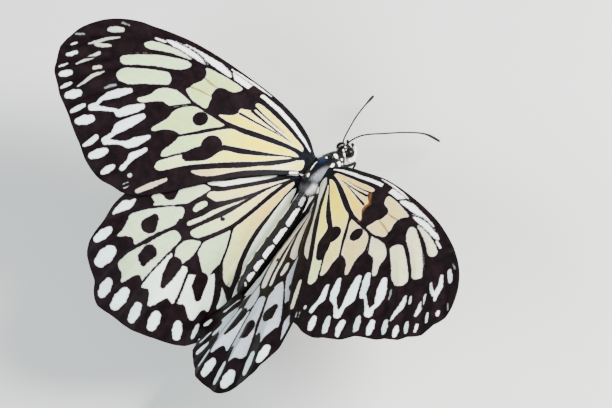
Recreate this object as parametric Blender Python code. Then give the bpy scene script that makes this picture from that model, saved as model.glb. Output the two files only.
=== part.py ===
"""Paper kite butterfly, a still life-size model that stands on its four walking legs.

Body axes used for every size below: forward, left and up in millimetres, with the zero
level at the wing hinges. The row frame has the head towards -Y and the floor at z = 0.
"""
import math

import bmesh
import bpy
import numpy as np
from mathutils import Matrix, Vector
from mathutils.geometry import delaunay_2d_cdt

# Driving sizes, in millimetres and degrees
MM = 0.001
GAP = 0.3
STANCE = 20.0
MEMBRANE = 0.5
RIDGE = 0.25
RIDGE_HALF_WIDTH = 0.45
ROOT_EXTRA = 0.7
LAYER = 0.6
EDGE_STEP = 2.1
VEIN_STEP = 3.0
FIELD_STEP = 3.9
FEMUR = 0.45
TIBIA = 0.36
TARSUS = 0.3
SOLE = 0.17
FEELER = 0.27
CLUB = 0.42
EYE = 1.35

# How each side is held: slope at the hinge, how fast it eases, camber, sweep back of both wings,
# where and how softly the hindwing folds down beside the abdomen, how far its inner margin curls
# back under, and how far the front edge draws back near the root
HOLD = {
    1: {"slope": 35.0, "ease": 33.0, "camber": -0.75, "sweep": {"fore": 0.0, "hind": 0.0},
        "fold_at": 6.5, "fold_soft": 1.6, "fold_drift": 0.0, "curl": 0.0, "tuck": 0.0},
    -1: {"slope": 32.0, "ease": 45.0, "camber": -0.45, "sweep": {"fore": 2.5, "hind": 2.0},
         "fold_at": 3.7, "fold_soft": 1.8, "fold_drift": 0.1, "curl": 45.0, "tuck": 1.1},
}
HINGE_HALF = 2.9
CAMBER_LINE = -28.0
FOLD_START = 14.0
FOLD_SLOPE = 80.0
CURL_INSIDE = 2.6
# The line where the forewing's rear edge lies over the hindwing: start and direction across it
OVERLAP_START = (0.0, -3.5)
OVERLAP_ACROSS = (-0.696, -0.719)
PIVOT = {"fore": (1.3, 1.0), "hind": (1.0, -4.3)}

# Wing plans: outward from the hinge line, forward along the body
FORE_OUTLINE = [
    (-1.2, 1.8), (1, 2.2), (4, 4.4), (8, 6.2), (12, 7.2), (16, 7.8), (20, 8.1), (25, 8.2),
    (30, 8.2), (35, 8.1), (40, 7.8), (45, 7.2), (50, 6.1), (55, 4.6), (60, 2.5), (64, 0.0),
    (67, -3.0), (69.2, -6.8), (69.9, -10.6), (69.4, -13.3), (68.4, -15.8), (67, -18.3),
    (64.5, -20.5), (61.5, -22.7), (58, -24.7), (54, -26.7), (50, -29.3), (46, -31.6),
    (42, -33.5), (38.5, -34.2), (35, -33.8), (32, -33.6), (29, -32.2), (26.5, -30.3),
    (24.8, -28.4), (23, -26.7), (21.4, -24.7), (19.3, -22), (17, -19), (15, -16.9),
    (12.5, -14.1), (10, -11.6), (7.5, -9.4), (5, -7.2), (3, -5.6), (1.4, -4.0), (-1.2, -3.1),
]
HIND_OUTLINE = [
    (-1.5, -3.7), (1, -3.8), (5, -4.6), (9, -6.9), (13, -10.3), (17, -14.3), (21, -18.9),
    (25, -23.6), (28.5, -28), (31, -31.8), (32, -35), (32.4, -38), (32.3, -42), (32.1, -46),
    (31.2, -49.5), (29, -52.3), (26.3, -54.8), (24.6, -57.2), (22, -58.8), (18, -59.2),
    (14, -59.3), (10, -58.7), (6, -57.8), (2, -56.4), (0, -55.6), (-3, -54.2), (-5, -53),
    (-6.3, -52.0), (-7.2, -51.2), (-9.3, -49.8), (-10.3, -47), (-10, -44), (-9.2, -41.5),
    (-7.5, -38.3), (-5.9, -34.8), (-5.5, -31), (-5.4, -27), (-5.2, -20), (-4.8, -14),
    (-4.1, -10), (-3.0, -8), (-1.6, -6.3),
]
FORE_VEINS = [
    [(2, 2.0), (5, 3.8), (10, 5.8), (15, 6.9), (20, 7.2), (26, 7.1), (33, 6.6), (38, 5.9)],
    [(0, 1.2), (5, 2.6), (10, 4.1), (15, 5.0), (20, 5.5), (25, 5.3), (30, 5.1), (38, 3.8),
     (46, 3.5), (50, 2.6), (55, 0.8), (60, -2.2), (65, -6), (68, -9)],
    [(38.5, 3.8), (41.5, 2.9), (45, 1.5), (49, -0.6), (53, -3.4), (57, -7), (61, -10.6),
     (66.5, -16)],
    [(39.5, 0.5), (44, -2.4), (48, -4.8), (52, -7.4), (55, -10.3), (58.5, -14), (61, -18),
     (62.5, -20.5)],
    [(38.5, -4.9), (43, -7.1), (46, -9.2), (49.5, -11.8), (52, -15), (55, -19.5), (57, -23.5)],
    [(38.5, 3.8), (39.5, 0.5), (38.6, -2.5), (38.5, -4.9)],
    [(0, 0.4), (3, 0.6), (8, -0.3), (12, -1.3), (16, -2.7), (20, -4.1), (23, -4.7),
     (28, -5.1), (32.5, -5.4), (38.5, -4.9)],
    [(32.5, -5.4), (36, -8.9), (39, -12.2), (42, -16), (45, -20.5), (47, -25), (48, -28.8)],
    [(22.5, -4.8), (25, -8.4), (29, -13), (32, -17), (35, -21.5), (38, -26), (40.5, -32)],
    [(0, -0.8), (3.3, -0.8), (6, -3.7), (10, -7.4), (15, -11.8), (20, -16.3), (24, -20.6),
     (28, -25.3), (32.5, -31.8)],
]
HIND_VEINS = [
    [(0, -4.6), (2.2, -5.4), (5, -8.1), (8, -11.5), (11, -14.9), (14, -18.2), (15.5, -19.5),
     (16, -22.3), (17, -25.3), (20.5, -28.9), (25.5, -33.3), (29.5, -38.5), (31, -40.5)],
    [(17, -26.5), (17, -30.5), (18.5, -35.3), (21.5, -41.3), (23.9, -47.5), (25.2, -54.5)],
    [(13.8, -33), (14.3, -37), (14.9, -41), (15.5, -45), (15.8, -48), (16.2, -58)],
    [(0, -5.2), (2.3, -8.5), (3.4, -12), (4.6, -17), (5.7, -21.5), (7.5, -26.8), (9, -29.5),
     (11.5, -32.2), (13.8, -33), (17, -31.5)],
    [(9.9, -31), (9.6, -34.8), (8.6, -38.5), (7, -45), (6.5, -47.5), (6, -56.5)],
    [(6.3, -24), (5.3, -27), (3.3, -32.5), (0, -36.5), (-3, -39.5), (-5, -44), (-6, -50.5)],
    [(0, -7), (0.3, -10.5), (0.6, -18), (0, -24), (-2, -29.5), (-5, -34.5), (-8.5, -41)],
]

# Rings of the body, front to back: forward, height of the middle, half width, half height
THORAX = [
    (6.4, -2.85, 0, 0), (6.3, -2.85, 1.1, 1.0), (5.9, -2.75, 1.7, 1.55), (5.2, -2.55, 2.3, 2.0),
    (4.2, -2.35, 2.8, 2.45), (3.1, -2.15, 3.25, 3.0), (1.8, -1.9, 3.7, 3.65), (0.3, -1.8, 4.05, 3.95),
    (-1.3, -1.75, 4.1, 4.0), (-2.9, -1.6, 3.8, 3.75), (-4.4, -1.3, 3.2, 3.2),
    (-5.7, -0.95, 2.4, 2.5), (-6.7, -0.7, 1.5, 1.7), (-7.2, -0.6, 0.8, 0.9), (-7.4, -0.6, 0, 0),
]
HEAD = [
    (9.35, -3.55, 0, 0), (9.15, -3.55, 0.8, 0.85), (8.65, -3.5, 1.3, 1.4), (7.9, -3.45, 1.55, 1.7),
    (7.1, -3.4, 1.6, 1.75), (6.4, -3.3, 1.45, 1.6), (5.8, -3.1, 1.1, 1.2), (5.5, -3.0, 0, 0),
]
ABDOMEN_LINE = [
    (-5.9, -0.3), (-9, -1.2), (-12, -1.8), (-15, -2.1), (-18, -2.25), (-21, -2.3), (-24, -2.35),
    (-27, -2.4), (-29.5, -2.5), (-32, -2.8), (-34, -3.15), (-35.8, -3.55), (-36.9, -3.8),
]
ABDOMEN_SIZE = [
    (0.0, 0.0, 0.0), (0.04, 1.25, 1.35), (0.1, 1.6, 1.75), (0.2, 1.8, 1.95), (0.4, 1.95, 2.1),
    (0.6, 2.0, 2.15), (0.78, 1.9, 2.05), (0.9, 1.5, 1.65), (0.96, 0.95, 1.1), (1.0, 0.0, 0.0),
]
ABDOMEN_RINGS = 18

# Centre lines of the limbs, with the radius at each point
FORELEG = [
    (3.4, 1.1, -3.6, 0.5), (4.6, 1.9, -5.2, 0.45), (5.9, 2.1, -6.6, 0.4), (6.9, 2.1, -7.3, 0.33),
    (6.0, 2.1, -8.0, 0.28), (4.6, 2.0, -8.4, 0.25), (3.5, 1.95, -8.6, 0.2),
]
MIDLEG = [
    (0.3, 1.4, -3.8, 0.6), (0.7, 3.0, -5.6, FEMUR), (1.2, 5.8, -5.7, FEMUR), (1.6, 8.4, -5.6, FEMUR),
    (1.6, 9.6, -7.2, TIBIA), (1.0, 12.0, -15.4, TIBIA), (0.8, 12.8, -18.7, TARSUS),
    (1.2, 13.4, SOLE - STANCE, TARSUS), (2.2, 14.6, SOLE - STANCE, TARSUS),
    (3.2, 15.8, SOLE - STANCE, TARSUS),
]
HINDLEG = [
    (-3.4, 1.3, -3.6, 0.6), (-4.6, 3.0, -5.4, FEMUR), (-7.2, 6.3, -5.2, FEMUR),
    (-10.2, 9.6, -4.9, FEMUR), (-12.0, 10.3, -6.6, TIBIA), (-20.0, 11.6, -16.4, TIBIA),
    (-22.0, 12.0, -18.9, TARSUS), (-23.0, 12.3, SOLE - STANCE, TARSUS),
    (-25.0, 13.0, SOLE - STANCE, TARSUS), (-27.0, 13.8, SOLE - STANCE, TARSUS),
]
FEELER_LINE = {
    1: [(8.0, 0.4, -2.9), (8.8, 0.8, -2.0), (10.1, 1.4, -2.0), (13.1, 3.3, -4.1), (16.5, 5.7, -7.2),
        (20.0, 8.1, -11.0), (23.5, 10.5, -15.2)],
    -1: [(8.0, -0.4, -2.9), (9.0, -0.5, -2.0), (10.8, -1.0, -1.8), (13.5, -2.9, -2.1),
         (16.9, -6.1, -4.4), (20.1, -8.7, -7.4), (22.7, -11.3, -10.8), (23.5, -13.9, -14.3)],
}
PALP = [
    (6.6, 0.75, -5.0, 0.4), (6.2, 1.15, -6.0, 0.44), (6.9, 1.5, -6.35, 0.52), (8.1, 1.45, -5.95, 0.54),
    (9.4, 1.15, -4.8, 0.47), (9.8, 0.9, -3.5, 0.35), (9.9, 0.8, -2.8, 0.22),
]
COIL_CENTRE = (8.6, -6.6)
COIL_OUTER = 1.25
COIL_INNER = 0.62
COIL_TURNS = 1.2
COIL_WIRE = 0.22
EYE_CENTRE = (7.75, 1.4, -3.5)

COLOURS = {
    "wing_scales": (0.80, 0.82, 0.72, 1.0),
    "body_black": (0.02, 0.02, 0.025, 1.0),
    "eye_brown": (0.03, 0.015, 0.01, 1.0),
    "palp_white": (0.75, 0.75, 0.72, 1.0),
    "abdomen_grey": (0.22, 0.22, 0.21, 1.0),
}


def clear_scene():
    for item in list(bpy.data.objects):
        bpy.data.objects.remove(item, do_unlink=True)


def material(name):
    found = bpy.data.materials.get(name)
    if found:
        return found
    made = bpy.data.materials.new(name)
    made.use_nodes = True
    surface_node = made.node_tree.nodes["Principled BSDF"]
    surface_node.inputs["Base Color"].default_value = COLOURS[name]
    surface_node.inputs["Roughness"].default_value = 0.1 if name == "eye_brown" else 0.6
    made.diffuse_color = COLOURS[name]
    return made


def to_row(points):
    """Body-axis millimetres to row-frame metres."""
    p = np.asarray(points, float).reshape(-1, 3)
    return np.c_[p[:, 1], -p[:, 0], p[:, 2] + STANCE] * MM


def add_mesh(name, vertices, faces, slot, smooth=True):
    mesh = bpy.data.meshes.new(name)
    mesh.from_pydata([tuple(v) for v in vertices], [], faces)
    mesh.validate()
    if slot:
        mesh.materials.append(material(slot))
    made = bpy.data.objects.new(name, mesh)
    bpy.context.scene.collection.objects.link(made)
    for face in mesh.polygons:
        face.use_smooth = smooth
    return made


def spline(points, step, closed=False):
    """Points about one step apart on a smooth curve through the given plan points."""
    p = np.asarray(points, float)
    n = len(p)
    out = []
    spans = n if closed else n - 1
    for i in range(spans):
        if closed:
            q = p[[(i - 1) % n, i, (i + 1) % n, (i + 2) % n]]
        else:
            q = p[[max(i - 1, 0), i, i + 1, min(i + 2, n - 1)]]
        fine = np.linspace(0, 1, 13)[:-1][:, None]
        out.append(0.5 * (2 * q[1] + (q[2] - q[0]) * fine
                          + (2 * q[0] - 5 * q[1] + 4 * q[2] - q[3]) * fine ** 2
                          + (3 * q[1] - q[0] - 3 * q[2] + q[3]) * fine ** 3))
    line = np.vstack(out + [p[:1] if closed else p[-1:]])
    along = np.r_[0, np.cumsum(np.linalg.norm(np.diff(line, axis=0), axis=1))]
    count = max(2, int(round(along[-1] / step)) + 1)
    at = np.linspace(0, along[-1], count)
    made = np.c_[[np.interp(at, along, line[:, k]) for k in range(line.shape[1])]].T
    return made[:-1] if closed else made


def distance_to(points, lines):
    """Distance from each plan point to the nearest of several lines."""
    best = np.full(len(points), 1e9)
    for line in lines:
        for start, end in zip(line[:-1], line[1:]):
            span = end - start
            at = np.clip(((points - start) @ span) / (span @ span), 0, 1)
            best = np.minimum(best, np.linalg.norm(points - start - at[:, None] * span, axis=1))
    return best


def inside(points, ring):
    """Which plan points lie inside a closed ring."""
    hit = np.zeros(len(points), bool)
    for (x1, y1), (x2, y2) in zip(ring, np.roll(ring, -1, axis=0)):
        crosses = (y1 > points[:, 1]) != (y2 > points[:, 1])
        height = np.where(y2 == y1, 1e-9, y2 - y1)
        hit ^= crosses & (points[:, 0] < (x2 - x1) * (points[:, 1] - y1) / height + x1)
    return hit


def sheet(plan, wing, side):
    """The curved middle of a folded-back wing.

    With outward distance u the slope is s(u) = slope * exp(-u / ease), so the sheet is the
    integral of (cos s, sin s). The camber lifts it by camber * ((b - line)^2 - line^2) / 100.
    Near the body the hindwing turns down to FOLD_SLOPE, which makes the abdomen's gutter;
    on the right its margin curls back under the abdomen, CURL_INSIDE further in.
    The tuck draws the front edge back by tuck * exp(-((u - 11) / 9)^2) * b / 6.
    """
    hold = HOLD[side]
    turn = math.radians(hold["sweep"][wing])
    plan = np.array(plan, float)
    plan[:, 1] -= hold["tuck"] * np.exp(-((plan[:, 0] - 11) / 9) ** 2) * np.clip(plan[:, 1] / 6, 0, 1)
    from_pivot = plan - PIVOT[wing]
    a = PIVOT[wing][0] + from_pivot[:, 0] * math.cos(turn) + from_pivot[:, 1] * math.sin(turn)
    b = PIVOT[wing][1] - from_pivot[:, 0] * math.sin(turn) + from_pivot[:, 1] * math.cos(turn)
    u = np.linspace(0, 80, 1601)
    s = np.radians(hold["slope"]) * np.exp(-u / hold["ease"])
    across = np.r_[0, np.cumsum((np.cos(s[1:]) + np.cos(s[:-1])) * (u[1] / 2))]
    upward = np.r_[0, np.cumsum((np.sin(s[1:]) + np.sin(s[:-1])) * (u[1] / 2))]
    reach = np.clip(a, FOLD_START if wing == "hind" else 0, None)
    y = np.interp(reach, u, across)
    z = np.interp(reach, u, upward)
    if wing == "hind":
        fold = hold["fold_at"] * (1 - np.exp(np.minimum(b + 5, 0) / 12))
        fold = fold - hold["fold_drift"] * np.maximum(-b - 38, 0)
        back = np.clip(-(b + 4) / 6, 0, 1)
        inner = np.minimum(a - FOLD_START, 0)
        for part in (np.arange(24) + 0.5) / 24:
            at = FOLD_START + inner * part
            base = hold["slope"] * np.exp(-np.clip(at, 0, None) / hold["ease"])
            tilt = base + (FOLD_SLOPE - base) * back / (1 + np.exp((at - fold) / hold["fold_soft"]))
            tilt = tilt - hold["curl"] * back / (1 + np.exp((at - fold + CURL_INSIDE) / 0.8))
            y = y + np.cos(np.radians(tilt)) * inner / 24
            z = z + np.sin(np.radians(tilt)) * inner / 24
    else:
        y = y + np.minimum(a, 0)
    out = np.clip(a, 0, None)
    lift = hold["camber"] * ((b - CAMBER_LINE) ** 2 - CAMBER_LINE ** 2) / 100 * (1 - np.exp(-out / 10))
    lean = np.radians(hold["slope"]) * np.exp(-out / hold["ease"])
    return np.c_[b, (y + HINGE_HALF - lift * np.sin(lean)) * side, z + lift * np.cos(lean)]


def sheet_normal(plan, wing, side):
    """Unit vector out of the upper side of the sheet."""
    plan = np.asarray(plan, float)
    along_a = sheet(plan + (0.05, 0), wing, side) - sheet(plan - (0.05, 0), wing, side)
    along_b = sheet(plan + (0, 0.05), wing, side) - sheet(plan - (0, 0.05), wing, side)
    n = np.cross(along_b, along_a) * side
    return n / np.linalg.norm(n, axis=1)[:, None]


def wing_plan(outline, veins):
    """Plan points and triangles: the outline, the veins with a shoulder each side, a loose field."""
    ring = spline(outline, EDGE_STEP, closed=True)
    points = [ring]
    lines = [spline(v, 1.5) for v in veins]
    taken = ring
    edge = [np.vstack([ring, ring[:1]])]
    for vein in veins:
        middle = spline(vein, VEIN_STEP)
        ahead = np.gradient(middle, axis=0)
        ahead /= np.linalg.norm(ahead, axis=1)[:, None]
        across = np.c_[-ahead[:, 1], ahead[:, 0]] * RIDGE_HALF_WIDTH
        for row, clear in ((middle, 0.75), (middle + across, 0.38), (middle - across, 0.38)):
            for p in row:
                far = np.linalg.norm(taken - p, axis=1).min() > clear
                if far and inside(p[None], ring)[0] and distance_to(p[None], edge)[0] > 0.9:
                    points.append(p[None])
                    taken = np.vstack([taken, p[None]])
    low, high = ring.min(axis=0), ring.max(axis=0)
    rows = np.arange(low[1], high[1], FIELD_STEP * 0.87)
    for k, b in enumerate(rows):
        for a in np.arange(low[0] + (k % 2) * FIELD_STEP / 2, high[0], FIELD_STEP):
            p = np.array([[a, b]])
            if inside(p, ring)[0] and np.linalg.norm(taken - p, axis=1).min() > FIELD_STEP * 0.48:
                points.append(p)
                taken = np.vstack([taken, p])
    flat = np.vstack(points)
    n = len(ring)
    made = delaunay_2d_cdt([Vector(p) for p in flat], [(i, (i + 1) % n) for i in range(n)],
                           [list(range(n))], 1, 1e-5)
    plan = np.array([tuple(v) for v in made[0]])
    return plan, [list(f) for f in made[2]], lines


def make_wing(name, wing, side, outline, veins):
    """A closed sheet with raised veins: both faces split alike, joined round the rim."""
    plan, faces, lines = wing_plan(outline, veins)
    middle = sheet(plan, wing, side)
    normal = sheet_normal(plan, wing, side)
    half = MEMBRANE / 2 + RIDGE * np.clip(1 - distance_to(plan, lines) / RIDGE_HALF_WIDTH, 0, 1)
    root = np.array([0.0, PIVOT[wing][1] - (0.6 if wing == "fore" else 0.9)])
    extra = ROOT_EXTRA * np.exp(-(np.linalg.norm(plan - root, axis=1) / 4) ** 2)
    behind = (plan - OVERLAP_START) @ np.array(OVERLAP_ACROSS)
    if wing == "fore":
        layer = LAYER * np.clip((14 + behind) / 9, 0, 1)
    else:
        layer = -LAYER * np.clip((9 - behind) / 8, 0, 1)
    upper = middle + normal * (layer + half + (extra if wing == "fore" else 0))[:, None]
    lower = middle + normal * (layer - half - (extra if wing == "hind" else 0))[:, None]
    count = len(plan)
    used = {}
    for f in faces:
        for i, j in zip(f, f[1:] + f[:1]):
            used[(i, j)] = used.get((i, j), 0) + 1
    rim = [(i, j) for (i, j) in used if (j, i) not in used]
    shell = [f for f in faces] + [[i + count for i in reversed(f)] for f in faces]
    for i, j in rim:
        shell.append([j, i, i + count])
        shell.append([j, i + count, j + count])
    made = add_mesh(name, to_row(np.vstack([upper, lower])), shell, "wing_scales")
    tidy(made)
    return made


def tidy(item):
    """Faces outward and split in triangles."""
    work = bmesh.new()
    work.from_mesh(item.data)
    loose = [v for v in work.verts if not v.link_faces]
    bmesh.ops.delete(work, geom=loose, context="VERTS")
    bmesh.ops.recalc_face_normals(work, faces=work.faces)
    bmesh.ops.triangulate(work, faces=work.faces)
    work.to_mesh(item.data)
    work.free()
    for face in item.data.polygons:
        face.use_smooth = True


def rounded(name, rings, segments, slot):
    """A sphere whose rings are moved to the stations: forward, height, half width, half height."""
    work = bmesh.new()
    bmesh.ops.create_uvsphere(work, u_segments=segments, v_segments=len(rings) - 1, radius=1.0)
    last = len(rings) - 1
    for v in work.verts:
        k = int(round(math.acos(max(-1.0, min(1.0, v.co.z))) / math.pi * last))
        forward, height, wide, tall = rings[k]
        size = math.hypot(v.co.x, v.co.y)
        c, s = (v.co.x / size, v.co.y / size) if size > 1e-6 else (0.0, 0.0)
        v.co = Vector(to_row((forward, wide * c, height + tall * s))[0])
    made = add_mesh(name, [], [], slot)
    work.to_mesh(made.data)
    work.free()
    tidy(made)
    return made


def tube(name, line, slot, sides=8):
    """A round limb along a line of forward, left, up and radius."""
    curve = bpy.data.curves.new(name, "CURVE")
    curve.dimensions = "3D"
    curve.bevel_depth = MM
    curve.bevel_resolution = (sides - 4) // 2
    curve.use_fill_caps = True
    path = curve.splines.new("POLY")
    path.points.add(len(line) - 1)
    spots = to_row([p[:3] for p in line])
    for point, spot, entry in zip(path.points, spots, line):
        point.co = (*spot, 1.0)
        point.radius = entry[3]
    holder = bpy.data.objects.new(name + "_line", curve)
    bpy.context.scene.collection.objects.link(holder)
    mesh = bpy.data.meshes.new_from_object(holder)
    bpy.data.objects.remove(holder, do_unlink=True)
    made = bpy.data.objects.new(name, mesh)
    mesh.materials.clear()
    mesh.materials.append(material(slot))
    bpy.context.scene.collection.objects.link(made)
    work = bmesh.new()
    work.from_mesh(mesh)
    bmesh.ops.remove_doubles(work, verts=work.verts, dist=0.00001)
    work.to_mesh(mesh)
    work.free()
    tidy(made)
    return made


def smooth_line(points, step):
    """The same line with its bends rounded."""
    return [tuple(p) for p in spline(points, step)]


def ball(name, centre, radius, slot, segments=14, rings=9):
    work = bmesh.new()
    bmesh.ops.create_uvsphere(work, u_segments=segments, v_segments=rings, radius=radius * MM)
    work.transform(Matrix.Translation(Vector(to_row(centre)[0])))
    made = add_mesh(name, [], [], slot)
    work.to_mesh(made.data)
    work.free()
    tidy(made)
    return made


def grown(item, by, group):
    """A copy of a body piece with its skin moved out, used to cut what meets it."""
    copy = bpy.data.objects.new(item.name + "_clearance", item.data.copy())
    copy.data.materials.clear()
    moves = [v.co + v.normal * (by * MM) for v in copy.data.vertices]
    for v, spot in zip(copy.data.vertices, moves):
        v.co = spot
    group.objects.link(copy)
    copy.hide_render = True
    copy.display_type = "WIRE"
    return copy


def cut(item, cutters):
    """Take the grown pieces away and keep the largest closed surface left."""
    for cutter in cutters:
        change = item.modifiers.new("clearance", "BOOLEAN")
        change.operation = "DIFFERENCE"
        change.solver = "EXACT"
        change.object = cutter
    if cutters:
        bpy.context.view_layer.update()
        result = bpy.data.meshes.new_from_object(
            item.evaluated_get(bpy.context.evaluated_depsgraph_get()))
        item.modifiers.clear()
        item.data = result
    keep_largest(item)


def keep_largest(item):
    work = bmesh.new()
    work.from_mesh(item.data)
    bmesh.ops.remove_doubles(work, verts=work.verts, dist=0.00001)
    bmesh.ops.dissolve_degenerate(work, edges=work.edges, dist=0.00001)
    left = set(work.faces)
    groups = []
    while left:
        stack = [left.pop()]
        group = set(stack)
        while stack:
            for edge in stack.pop().edges:
                for other in edge.link_faces:
                    if other in left:
                        left.remove(other)
                        group.add(other)
                        stack.append(other)
        groups.append(group)
    largest = max(groups, key=lambda g: sum(f.calc_area() for f in g))
    gone = [f for g in groups if g is not largest for f in g]
    bmesh.ops.delete(work, geom=gone, context="FACES")
    bmesh.ops.triangulate(work, faces=work.faces)
    work.to_mesh(item.data)
    work.free()
    for face in item.data.polygons:
        face.use_smooth = True


def flatten_soles(item):
    """Press whatever is below the floor flat, which gives each foot its sole."""
    for v in item.data.vertices:
        if v.co.z < 0.06 * MM:
            v.co.z = 0.0


def abdomen_rings():
    """Stations of the abdomen, with a shallow step where two segments meet."""
    line = np.array(ABDOMEN_LINE)
    size = np.array(ABDOMEN_SIZE)
    along = np.r_[0, np.cumsum(np.linalg.norm(np.diff(line, axis=0), axis=1))]
    along /= along[-1]
    at = np.r_[0, 0.012, np.linspace(0.05, 0.94, ABDOMEN_RINGS - 4), 0.985, 1]
    rings = []
    for k, t in enumerate(at):
        wide = np.interp(t, size[:, 0], size[:, 1])
        tall = np.interp(t, size[:, 0], size[:, 2])
        trim = 0.96 if 2 <= k <= ABDOMEN_RINGS - 3 and k % 2 == 0 else 1.0
        rings.append((np.interp(t, along, line[:, 0]), np.interp(t, along, line[:, 1]),
                      wide * trim, tall * trim))
    return rings


def coil():
    """The coiled tongue: a flat spiral under the head."""
    points = []
    steps = 22
    for k in range(steps + 1):
        t = k / steps
        angle = math.radians(100) - t * COIL_TURNS * 2 * math.pi
        r = COIL_OUTER + (COIL_INNER - COIL_OUTER) * t
        points.append((COIL_CENTRE[0] + r * math.cos(angle), 0.0, COIL_CENTRE[1] + r * math.sin(angle),
                       COIL_WIRE))
    return [(7.9, 0.0, -4.4, 0.35)] + points


def build():
    clear_scene()
    group = bpy.data.collections.new("clearances")
    bpy.context.scene.collection.children.link(group)

    thorax = rounded("thorax", THORAX, 18, "body_black")
    thorax_cut = grown(thorax, GAP, group)

    head = rounded("head", HEAD, 14, "body_black")
    cut(head, [thorax_cut])
    head_full = rounded("head_form", HEAD, 14, "body_black")
    head_cut = grown(head_full, GAP, group)
    bpy.data.objects.remove(head_full, do_unlink=True)

    abdomen = rounded("abdomen", abdomen_rings(), 16, "abdomen_grey")
    abdomen_full = grown(abdomen, GAP, group)
    cut(abdomen, [thorax_cut])

    tongue = tube("proboscis", coil(), "body_black", 6)
    cut(tongue, [head_cut])

    for side, word in ((1, "left"), (-1, "right")):
        def mirrored(line):
            return [(p[0], p[1] * side) + tuple(p[2:]) for p in line]

        centre = (EYE_CENTRE[0], EYE_CENTRE[1] * side, EYE_CENTRE[2])
        eye = ball("eye_" + word, centre, EYE, "eye_brown")
        cut(eye, [head_cut, thorax_cut])

        palp = tube("palp_" + word, smooth_line(mirrored(PALP), 0.9), "palp_white", 8)
        cut(palp, [head_cut])

        line = spline(FEELER_LINE[side], 1.6)
        far = np.linspace(0, 1, len(line))
        radius = FEELER + (CLUB - FEELER) * np.exp(-((far - 0.94) / 0.09) ** 2)
        radius[-1] = 0.2
        feeler = tube("antenna_" + word, [(*p, r) for p, r in zip(line, radius)], "body_black", 6)
        cut(feeler, [head_cut])

        for name, legs in (("foreleg_", FORELEG), ("midleg_", MIDLEG), ("hindleg_", HINDLEG)):
            leg = tube(name + word, mirrored(legs), "body_black", 8)
            cut(leg, [thorax_cut])
            flatten_soles(leg)

        fore = make_wing("forewing_" + word, "fore", side, FORE_OUTLINE, FORE_VEINS)
        cut(fore, [thorax_cut])
        hind = make_wing("hindwing_" + word, "hind", side, HIND_OUTLINE, HIND_VEINS)
        cut(hind, [thorax_cut, abdomen_full])

    for item in list(group.objects):
        bpy.data.objects.remove(item, do_unlink=True)
    bpy.data.collections.remove(group)
    centre_on_floor()


def centre_on_floor():
    """Move every mesh so that the origin is under the middle of the whole model's box."""
    items = [o for o in bpy.context.scene.objects if o.type == "MESH"]
    spots = np.vstack([np.array([v.co for v in o.data.vertices]) for o in items])
    middle = (spots.min(axis=0) + spots.max(axis=0)) / 2
    shift = Matrix.Translation(Vector((-middle[0], -middle[1], 0.0)))
    for o in items:
        o.data.transform(shift)


build()
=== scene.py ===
"""Paper kite butterfly: a still, life-size model with its wings half raised, on its own legs.

Sizes are in millimetres along the body's own axes: forward, left and up, with the zero
level at the wing hinges. Every surface is a function of two numbers, or a profile along a path.
"""
import math

import bmesh
import bpy
import numpy as np
from mathutils import Matrix, Vector


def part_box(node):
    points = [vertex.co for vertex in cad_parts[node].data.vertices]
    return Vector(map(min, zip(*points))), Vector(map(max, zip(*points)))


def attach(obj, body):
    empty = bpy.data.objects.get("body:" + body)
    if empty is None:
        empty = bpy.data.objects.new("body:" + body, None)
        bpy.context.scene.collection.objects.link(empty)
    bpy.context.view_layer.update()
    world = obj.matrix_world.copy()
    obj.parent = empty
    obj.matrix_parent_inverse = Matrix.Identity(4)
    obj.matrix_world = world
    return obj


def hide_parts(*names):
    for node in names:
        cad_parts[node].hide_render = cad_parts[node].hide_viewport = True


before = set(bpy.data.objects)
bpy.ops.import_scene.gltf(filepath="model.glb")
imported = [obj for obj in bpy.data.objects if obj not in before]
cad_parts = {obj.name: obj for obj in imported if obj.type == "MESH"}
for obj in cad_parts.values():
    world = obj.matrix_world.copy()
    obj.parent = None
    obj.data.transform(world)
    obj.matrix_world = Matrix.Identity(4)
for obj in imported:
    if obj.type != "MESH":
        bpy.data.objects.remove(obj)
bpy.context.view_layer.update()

# The forewings. Each is one clear membrane of chitin stiffened by hollow veins, held at the
# thorax by a few small hardened plates. Flat scales cover it, black along the veins and rim
# and white to straw yellow between them.
MM = 0.001
STANCE = 20.0
SIDES = ((1, "left"), (-1, "right"))
THORAX_BEHIND = 0.5
low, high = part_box("thorax")
ACROSS = (low.x + high.x) / 2
ALONG = (low.y + high.y) / 2 - THORAX_BEHIND * MM
HINGE_HALF = 2.9
CAMBER_LINE = -28.0
# How each pair is held: degrees up from level at the hinge and the mm over which this eases, the
# camber, degrees swept back, where the hindwing folds down beside the abdomen, how softly and how
# far in this drifts, degrees its margin curls back and mm its front edge is drawn back
HOLD = {
    1: {"slope": 35.0, "ease": 33.0, "camber": -0.75, "sweep": {"fore": 0.0, "hind": 0.0},
        "fold_at": 6.5, "fold_soft": 1.6, "fold_drift": 0.0, "curl": 0.0, "tuck": 0.0},
    -1: {"slope": 32.0, "ease": 45.0, "camber": -0.45, "sweep": {"fore": 2.5, "hind": 2.0},
         "fold_at": 3.7, "fold_soft": 1.8, "fold_drift": 0.1, "curl": 45.0, "tuck": 1.1},
}
OVERLAP_START = (0.0, -3.5)
OVERLAP_ACROSS = (-0.696, -0.719)
PIVOT = {"fore": (1.3, 1.0), "hind": (1.0, -4.3)}
LAYER = 0.6
# The hindwing's fold, the curl of its margin and the drawn-back front edge: mm, and one slope
FOLD_START, FOLD_SLOPE, FOLD_STEPS = 14.0, 80.0, 24
CURL_INSIDE, CURL_SOFT = 2.6, 0.8
TUCK_AT, TUCK_WIDTH, TUCK_DEPTH = 11.0, 9.0, 6.0
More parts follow.
